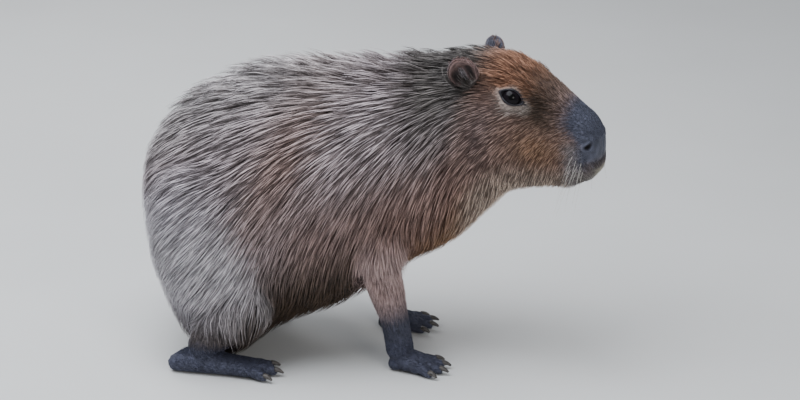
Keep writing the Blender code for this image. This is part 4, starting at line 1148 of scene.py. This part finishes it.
root_dark, root_pale = markings(root)
low_flank = ease(0.20, 0.45, root_fall) * (1 - ease(0.06, 0.14, root_along))
dim = np.where(root_along > 0.18, 0.30, 0.40 + 0.30 * low_flank)
shine = dice.uniform(0.78, 1.10, count) * (1 - 0.25 * low_flank)
bright = np.where(guard, shine, dice.uniform(0.04, dim, count))
on_lip = ease(0.376, 0.385, root_along) * hill(root[:, 2] - 0.3590, 0.0070)
bright += on_lip * 0.7 * (0.75 - bright)
varied = dice.uniform(0.88, 1.12, count)
width = np.clip(0.022 * tuft_length + 0.00072, 0.0008, 0.0022) * dice.uniform(0.7, 1.2, count)
width *= np.where(guard, 0.80, 1.1)
thickness = width * 0.38
coat = []
for kind, rings, most in (("long", 3, 12000), ("short", 2, 19000)):
    group = np.flatnonzero(long if kind == "long" else ~long)
    group = group[np.argsort(root_along[group], kind="stable")]
    for number, chosen_tufts in enumerate(np.array_split(group, math.ceil(len(group) / most))):
        made, share = blades(f"{kind}_coat_{number + 1}", chosen_tufts, width, thickness, rings)
        colour_blades(made, share, chosen_tufts)
        coat.append(made)
print(int(long.sum()), "long and", int((~long).sum()), "short tufts in", len(coat), "pieces")
print("triangles of the coat:", sum(len(piece.data.polygons) for piece in coat))

# %% [markdown]
# ## Eyes
# The eye is a dark ball with a slightly steeper cornea. The ball is one surface of revolution
# about its gaze, and each point keeps how far it is from the pupil, so the finish can paint
# pupil and iris. A thin dark rim lies on the lids' edge, always wet.

# %% Eyes and lid rims


def eyeball(side):
    """A ball whose radius swells by a bell round the gaze."""
    at, ahead, up, out = feature_frame(EYE_AT, EYE_ANGLE, side)
    centre = at - out * EYE_SUNK
    u = np.linspace(0.02, math.pi - 0.02, 40)[:, None]
    v = np.linspace(0, 2 * math.pi, 48, endpoint=False)[None]
    radius = EYE_RADIUS - 0.0004 + 0.0007 * hill(u, 0.55)
    local = np.stack([np.sin(u) * np.cos(v), np.sin(u) * np.sin(v), np.cos(u) + 0 * v], -1) * radius[..., None]
    basis = np.stack([ahead, up, out])
    ball = closed_rings(f"eyeball_{side}", centre + local @ basis)
    far = np.concatenate([(u + 0 * v).ravel(), [0, math.pi]])
    store(ball.data, "from_pupil", far)
    return ball


def lid_rim(side):
    """A thin tube carried round the almond where the lids end."""
    at, ahead, up, out = feature_frame(EYE_AT, EYE_ANGLE, side)
    v = np.linspace(0, 2 * math.pi, 72, endpoint=False)
    long = ALMOND[0] * np.cos(v)
    high = ALMOND[1] * np.sin(v) * (1 - 0.42 * np.cos(v) ** 2)
    a = long * math.cos(EYE_TILT) + high * math.sin(EYE_TILT)
    b = high * math.cos(EYE_TILT) - long * math.sin(EYE_TILT)
    near = np.sqrt(EYE_RADIUS**2 - np.minimum(a**2 + b**2, 0.0148**2)) - EYE_SUNK
    path = at + a[:, None] * ahead + b[:, None] * up + (near + 0.0009)[:, None] * out
    run = unit(np.roll(path, -1, 0) - np.roll(path, 1, 0))
    away = unit(np.cross(run, out))
    rise = np.cross(away, run)
    w = np.linspace(0, 2 * math.pi, 10, endpoint=False)[None, :, None]
    radius = (0.0013 + 0.0004 * np.maximum(np.sin(v), 0))[:, None, None]
    rings = path[:, None] + radius * (np.cos(w) * away[:, None] + np.sin(w) * rise[:, None])
    count, around = rings.shape[:2]
    triangles = ring_triangles(count + 1, around) % (count * around)
    made = mesh_of(f"lid_rim_{side}", rings.reshape(-1, 3), triangles)
    face_out(made)
    return made


def face_out(obj):
    """Turns every face of a closed mesh outwards."""
    shape = bmesh.new()
    shape.from_mesh(obj.data)
    bmesh.ops.recalc_face_normals(shape, faces=shape.faces)
    shape.to_mesh(obj.data)
    shape.free()


eyes = {side: eyeball(side) for side in SIDES}
rims = {side: lid_rim(side) for side in SIDES}
print("eyes:", [len(ball.data.polygons) for ball in eyes.values()], "triangles each")

# %% [markdown]
# ## Claws and whiskers
# Each toe ends in a blunt, hoof-like claw, flatter above than below. Whiskers are single stiff
# hairs: a curve that leaves the muzzle, arches back and hangs, with a radius that thins to
# nothing. Joined tubes are enough for both.

# %% Claws


def claw(path, heading):
    """Rings that flatten and narrow along a short path off the toe's tip."""
    ahead = np.array([math.cos(heading), math.sin(heading), 0])
    share = np.linspace(0, 1, 10)
    nail = path[-1] + ahead * (share * 0.0150 - 0.004)[:, None]
    nail[:, 2] += 0.0034 * (1 - 1.6 * share**2)
    rings = tube_rings(nail, 0.0054 * (1 - 0.66 * share**1.6), 16)
    rings[..., 2] = nail[:, None, 2] + (rings[..., 2] - nail[:, None, 2]) * 0.80
    rings[..., 2] = np.maximum(rings[..., 2], 0.0006)
    return closed_rings("claw", rings)


def joined(pieces, name):
    """Several meshes in one object."""
    with bpy.context.temp_override(active_object=pieces[0], selected_editable_objects=pieces):
        bpy.ops.object.join()
    pieces[0].name = name
    return pieces[0]


nails = []
for table, toes, shift in ((FORE_PALM, FORE_TOES, FORE_STAGGER), (HIND_PALM, HIND_TOES, HIND_STAGGER)):
    for side in SIDES:
        nails += [claw(path, heading) for path, _, heading in toe_paths(table, toes, side, shift[side])]
print(len(nails), "claws")
claws = joined(nails, "claws")

# %% Whiskers
WHISKERS = 9


def whiskers(side):
    """Three-sided tubes: each leaves the muzzle outwards, then its own weight bends it back and down."""
    share = np.linspace(0, 1, 10)[None, :, None]
    row = np.arange(WHISKERS) % 3
    along = 0.370 - 0.0090 * row + dice.uniform(-0.003, 0.003, WHISKERS)
    degrees = 184 + 7.0 * (np.arange(WHISKERS) // 3) + dice.uniform(-3, 3, WHISKERS)
    frames = [feature_frame(a, d, side) for a, d in zip(along, degrees)]
    at, ahead, up, out = [np.array([f[k] for f in frames])[:, None] for k in range(4)]
    reach = dice.uniform(0.040, 0.074, (WHISKERS, 1, 1))
    back_share, down_share = dice.uniform(0.30, 0.65, (2, WHISKERS, 1, 1))
    away = unit(out * 0.75 - ahead * back_share + np.array([0, 0, -1.0]) * (0.4 + down_share))
    sag = np.array([0, 0, -1.0]) * reach * 0.40 * share**2
    path = at - out * 0.001 + away * reach * share + sag
    run = unit(np.gradient(path, axis=1))
    one = unit(np.cross(run, out + 0 * run))
    two = np.cross(one, run)
    w = np.linspace(0, 2 * math.pi, 3, endpoint=False)[None, None, :, None]
    radius = 0.00034 * (1 - 0.80 * share)[..., None]
    rings = path[:, :, None] + radius * (np.cos(w) * one[:, :, None] + np.sin(w) * two[:, :, None])
    return [closed_rings("whisker", ring) for ring in rings]


beard = joined(whiskers("right") + whiskers("left"), "whiskers")
print("whiskers:", 2 * WHISKERS)

# %% [markdown]
# ## Shader maths as plain expressions
# A finish is a tree of nodes. Wrapping a socket in a small class lets the tree be written as
# sums and products, as a maker would jot down a recipe.

# %% Finish tools


class Value:
    """A socket that can stand in a sum, product or power, which adds a Math node."""

    def __init__(self, finish, socket):
        self.finish, self.socket = finish, socket

    def math(self, operation, one, two):
        return self.finish.node("ShaderNodeMath", {"operation": operation}, {0: one, 1: two})

    def __add__(self, other):
        return self.math("ADD", self, other)

    def __sub__(self, other):
        return self.math("SUBTRACT", self, other)

    def __rsub__(self, other):
        return self.math("SUBTRACT", other, self)

    def __mul__(self, other):
        return self.math("MULTIPLY", self, other)

    def __pow__(self, other):
        return self.math("POWER", self, other)

    __radd__ = __add__
    __rmul__ = __mul__


class Finish:
    """A material under construction, with its Principled shader."""

    def __init__(self, name, **constants):
        self.material = bpy.data.materials.new(name)
        self.material.use_nodes = True
        self.tree = self.material.node_tree
        self.shader = self.tree.nodes["Principled BSDF"]
        for key, value in constants.items():
            self.shader.inputs[key.replace("_", " ")].default_value = value

    def node(self, kind, settings=None, inputs=None, output=0):
        """Any node: its settings first, then the values or links of its sockets."""
        made = self.tree.nodes.new(kind)
        for key, value in (settings or {}).items():
            setattr(made, key, value)
        for key, value in (inputs or {}).items():
            if isinstance(value, Value):
                self.tree.links.new(value.socket, made.inputs[key])
            else:
                made.inputs[key].default_value = value
        return Value(self, made.outputs[output])

    def place(self):
        return self.node("ShaderNodeTexCoord", output="Object")

    def attribute(self, name, output="Color"):
        return self.node("ShaderNodeAttribute", {"attribute_name": name}, output=output)

    def noise(self, scale, detail=2.0, rough=0.5, where=None):
        where = where or self.place()
        inputs = {"Vector": where, "Scale": scale, "Detail": detail, "Roughness": rough}
        return self.node("ShaderNodeTexNoise", None, inputs)

    def ranged(self, value, low, high, to_low=0.0, to_high=1.0):
        inputs = {"Value": value, "From Min": low, "From Max": high, "To Min": to_low, "To Max": to_high}
        return self.node("ShaderNodeMapRange", {"interpolation_type": "SMOOTHSTEP"}, inputs)

    def mix(self, share, one, two, blend="MIX"):
        """Colour mix: sockets 6 and 7 are the two colours, and output 2 is the mixed one."""
        made = self.tree.nodes.new("ShaderNodeMix")
        made.data_type, made.blend_type = "RGBA", blend
        for key, value in ((0, share), (6, one), (7, two)):
            if isinstance(value, Value):
                self.tree.links.new(value.socket, made.inputs[key])
            else:
                made.inputs[key].default_value = (*value, 1) if isinstance(value, tuple) else value
        return Value(self, made.outputs[2])

    def bump(self, height, distance, strength=1.0):
        inputs = {"Height": height, "Distance": distance, "Strength": strength}
        return self.node("ShaderNodeBump", None, inputs)

    def feed(self, **links):
        for key, value in links.items():
            self.tree.links.new(value.socket, self.shader.inputs[key.replace("_", " ")])
        return self.material


# %% [markdown]
# ## Finishes
# Under the hair the skin shows as the same colours, broken into fine streaks that run with the
# lie. Bare places are leathery: a mesh of fine creases, a little shine. Tufts take their colour
# from the markings, with a faint change along each one, and a soft gloss.

# %% Skin finish


def skin_finish():
    made = Finish("short_fur_skin", Specular_IOR_Level=0.35)
    place = made.place()
    lie_here = made.attribute("coat_lie", "Vector")
    along_lie = made.node("ShaderNodeVectorMath", {"operation": "DOT_PRODUCT"}, {0: place, 1: lie_here}, output="Value")
    back = made.node("ShaderNodeVectorMath", {"operation": "SCALE"}, {0: lie_here, "Scale": along_lie * 0.86})
    combed = made.node("ShaderNodeVectorMath", {"operation": "SUBTRACT"}, {0: place, 1: back})
    streak = made.noise(620.0, 3.0, 0.6, combed)
    soft = made.noise(60.0, 2.0)
    share = made.ranged(streak + soft * 0.25 - 0.12, 0.30, 0.78, 0.10, 0.90)
    share = share * made.ranged(made.attribute("covered", "Fac"), 0, 1, 0.9, 0.25)
    fur = made.mix(share, made.attribute("coat_dark"), made.attribute("coat_pale"))
    bare_here = made.attribute("bareness", "Fac")
    creases = made.node("ShaderNodeTexVoronoi", {"feature": "DISTANCE_TO_EDGE"}, {"Vector": place, "Scale": 620.0})
    pebble = made.ranged(creases, 0.0, 0.22)
    # The hide's colour darkens along the crease lines: painted shade in the creases.
    hide_share = made.ranged(made.noise(95.0, 3.0), 0.3, 0.7, 0.15, 0.65) * made.ranged(pebble, 0, 1, 0.65, 1.0)
    hide = made.mix(hide_share, made.attribute("coat_dark"), made.attribute("coat_pale"))
    colour = made.mix(bare_here, fur, hide)
    rough = made.ranged(bare_here, 0, 1, 0.82, 0.50) + made.noise(180.0) * 0.10
    fur_bump = made.bump(streak, 0.0011, 0.8)
    skin_bump = made.bump(pebble * 0.6 + made.noise(260.0, 3.0) * 0.5, 0.0007, 0.7)
    normal = made.mix(bare_here, fur_bump, skin_bump)
    return made.feed(Base_Color=colour, Roughness=rough, Normal=normal)


def tuft_finish():
    made = Finish("coarse_hair", Specular_IOR_Level=0.30)
    wander = made.ranged(made.noise(34.0, 2.0), 0.25, 0.75, 0.80, 1.18)
    grey = made.node("ShaderNodeCombineColor", None, {0: wander, 1: wander, 2: wander})
    colour = made.mix(1.0, made.attribute("tuft_colour"), grey, "MULTIPLY")
    rough = made.ranged(made.noise(300.0), 0.2, 0.8, 0.46, 0.62)
    return made.feed(Base_Color=colour, Roughness=rough)


skin.data.materials.clear()
skin.data.materials.append(skin_finish())
hair = tuft_finish()
for piece in coat:
    piece.data.materials.append(hair)
print("finishes on skin and coat")

# %% Eye, lid, claw and whisker finishes


def eye_finish():
    made = Finish("wet_eye", IOR=1.36, Specular_IOR_Level=0.20)
    far = made.attribute("from_pupil", "Fac")
    wander = made.noise(420.0, 3.0)
    iris = made.mix(wander, (0.003, 0.0025, 0.004), (0.010, 0.007, 0.009))
    colour = made.mix(made.ranged(far + wander * 0.02, 0.30, 0.36), (0.002, 0.002, 0.002), iris)
    colour = made.mix(made.ranged(far, 0.74, 0.90), colour, (0.006, 0.005, 0.006))
    rough = made.ranged(far, 0.7, 1.0, 0.13, 0.28)
    return made.feed(Base_Color=colour, Roughness=rough)


def rim_finish():
    made = Finish("wet_lid", Specular_IOR_Level=0.35)
    colour = made.mix(made.noise(500.0, 2.0), (0.006, 0.005, 0.008), (0.018, 0.016, 0.022))
    return made.feed(Base_Color=colour, Roughness=made.ranged(made.noise(700.0), 0.2, 0.8, 0.30, 0.45))


def claw_finish():
    made = Finish("claw_horn", Specular_IOR_Level=0.5)
    grain = made.noise(240.0, 3.0, 0.6)
    colour = made.mix(made.ranged(grain, 0.3, 0.7), (0.022, 0.019, 0.018), (0.085, 0.075, 0.068))
    return made.feed(Base_Color=colour, Roughness=made.ranged(grain, 0.2, 0.8, 0.34, 0.55), Normal=made.bump(grain, 0.0004))


def whisker_finish():
    made = Finish("whisker_hair")
    colour = made.mix(made.noise(60.0), (0.30, 0.28, 0.25), (0.62, 0.60, 0.55))
    return made.feed(Base_Color=colour, Roughness=made.ranged(made.noise(90.0), 0.2, 0.8, 0.35, 0.5))


for piece in eyes.values():
    piece.data.materials.append(eye_finish())
for piece in rims.values():
    piece.data.materials.append(rim_finish())
claws.data.materials.clear()
claws.data.materials.append(claw_finish())
beard.data.materials.clear()
beard.data.materials.append(whisker_finish())

# %% [markdown]
# ## What each piece stands for
# The imported model keeps its solids for collision. The solids that the skin and the eyes take
# the place of are hidden, and each new piece rides on the one body.

# %% Ride and hide
flesh = ["head", "neck", "torso", "rump"]
flesh += [f"{part}_{side}" for part in ("ear", "foreleg", "forefoot", "hindleg", "hindfoot") for side in SIDES]
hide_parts(*flesh)
for side, ball in eyes.items():
    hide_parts(f"eye_{side}")
for piece in [skin, claws, beard, *coat, *eyes.values(), *rims.values()]:
    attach(piece, "root")
print("the skin stands for", len(flesh), "solids")

# %% [markdown]
# ## Floor, light and camera
# Most of the light comes from a large soft sheet overhead, a little cool, as in open shade: it
# silvers the back and leaves the belly dark, over the sheen and shade painted into the markings.
# A second, smaller light from the front fills the face. The camera stands where the
# photographer's did, a little above and square to the flank.

# %% Floor
floor = mesh_of("floor", np.array([(-6, -6, -0.0005), (6, -6, -0.0005), (6, 6, -0.0005), (-6, 6, -0.0005)]), np.array([(0, 1, 2), (0, 2, 3)]))
paper = Finish("pale_floor", Specular_IOR_Level=0.2)
tint = paper.mix(paper.noise(3.0), (0.60, 0.60, 0.59), (0.66, 0.66, 0.65))
floor.data.materials.append(paper.feed(Base_Color=tint))
paper.shader.inputs["Roughness"].default_value = 0.9

# %% Lights


def soft_light(name, place, aim, size, power, colour):
    """A square area light that looks at a point."""
    light = bpy.data.lights.new(name, "AREA")
    light.size, light.energy, light.color = size, power, colour
    lamp = bpy.data.objects.new(name, light)
    bpy.context.scene.collection.objects.link(lamp)
    lamp.location = place
    lamp.rotation_euler = (Vector(aim) - Vector(place)).to_track_quat("-Z", "Y").to_euler()
    return lamp


soft_light("sky", (-0.7, -0.5, 2.4), (-0.05, 0, 0.25), 2.2, 105, (0.90, 0.94, 1.0))
soft_light("front", (1.5, -2.4, 1.4), (0.1, 0, 0.3), 0.9, 24, (1.0, 0.97, 0.93))
soft_light("rim", (-1.2, 1.9, 1.6), (0, 0, 0.35), 1.2, 24, (0.95, 0.97, 1.0))
world = bpy.data.worlds.new("studio")
world.use_nodes = True
world.node_tree.nodes["Background"].inputs["Color"].default_value = (0.80, 0.84, 0.90, 1)
world.node_tree.nodes["Background"].inputs["Strength"].default_value = 0.45
bpy.context.scene.world = world

# %% Camera
LOOK = Vector((0.044, 0, 0.266)) - Vector(MIDDLE)
AZIMUTH, ELEVATION, DISTANCE = math.radians(5), math.radians(20), 5.5
back = Vector((math.sin(AZIMUTH) * math.cos(ELEVATION), -math.cos(AZIMUTH) * math.cos(ELEVATION), math.sin(ELEVATION)))
PIXELS_PER_METRE, IMAGE_WIDTH, SENSOR = 600, 800, 36
view = bpy.data.cameras.new("camera")
view.sensor_width, view.lens = SENSOR, PIXELS_PER_METRE * DISTANCE * SENSOR / IMAGE_WIDTH
camera = bpy.data.objects.new("camera", view)
bpy.context.scene.collection.objects.link(camera)
camera.location = LOOK + back * DISTANCE
camera.rotation_mode = "QUATERNION"
camera.rotation_quaternion = (-back).to_track_quat("-Z", "Y")
bpy.context.scene.camera = camera
print("lens", round(view.lens, 1), "mm")
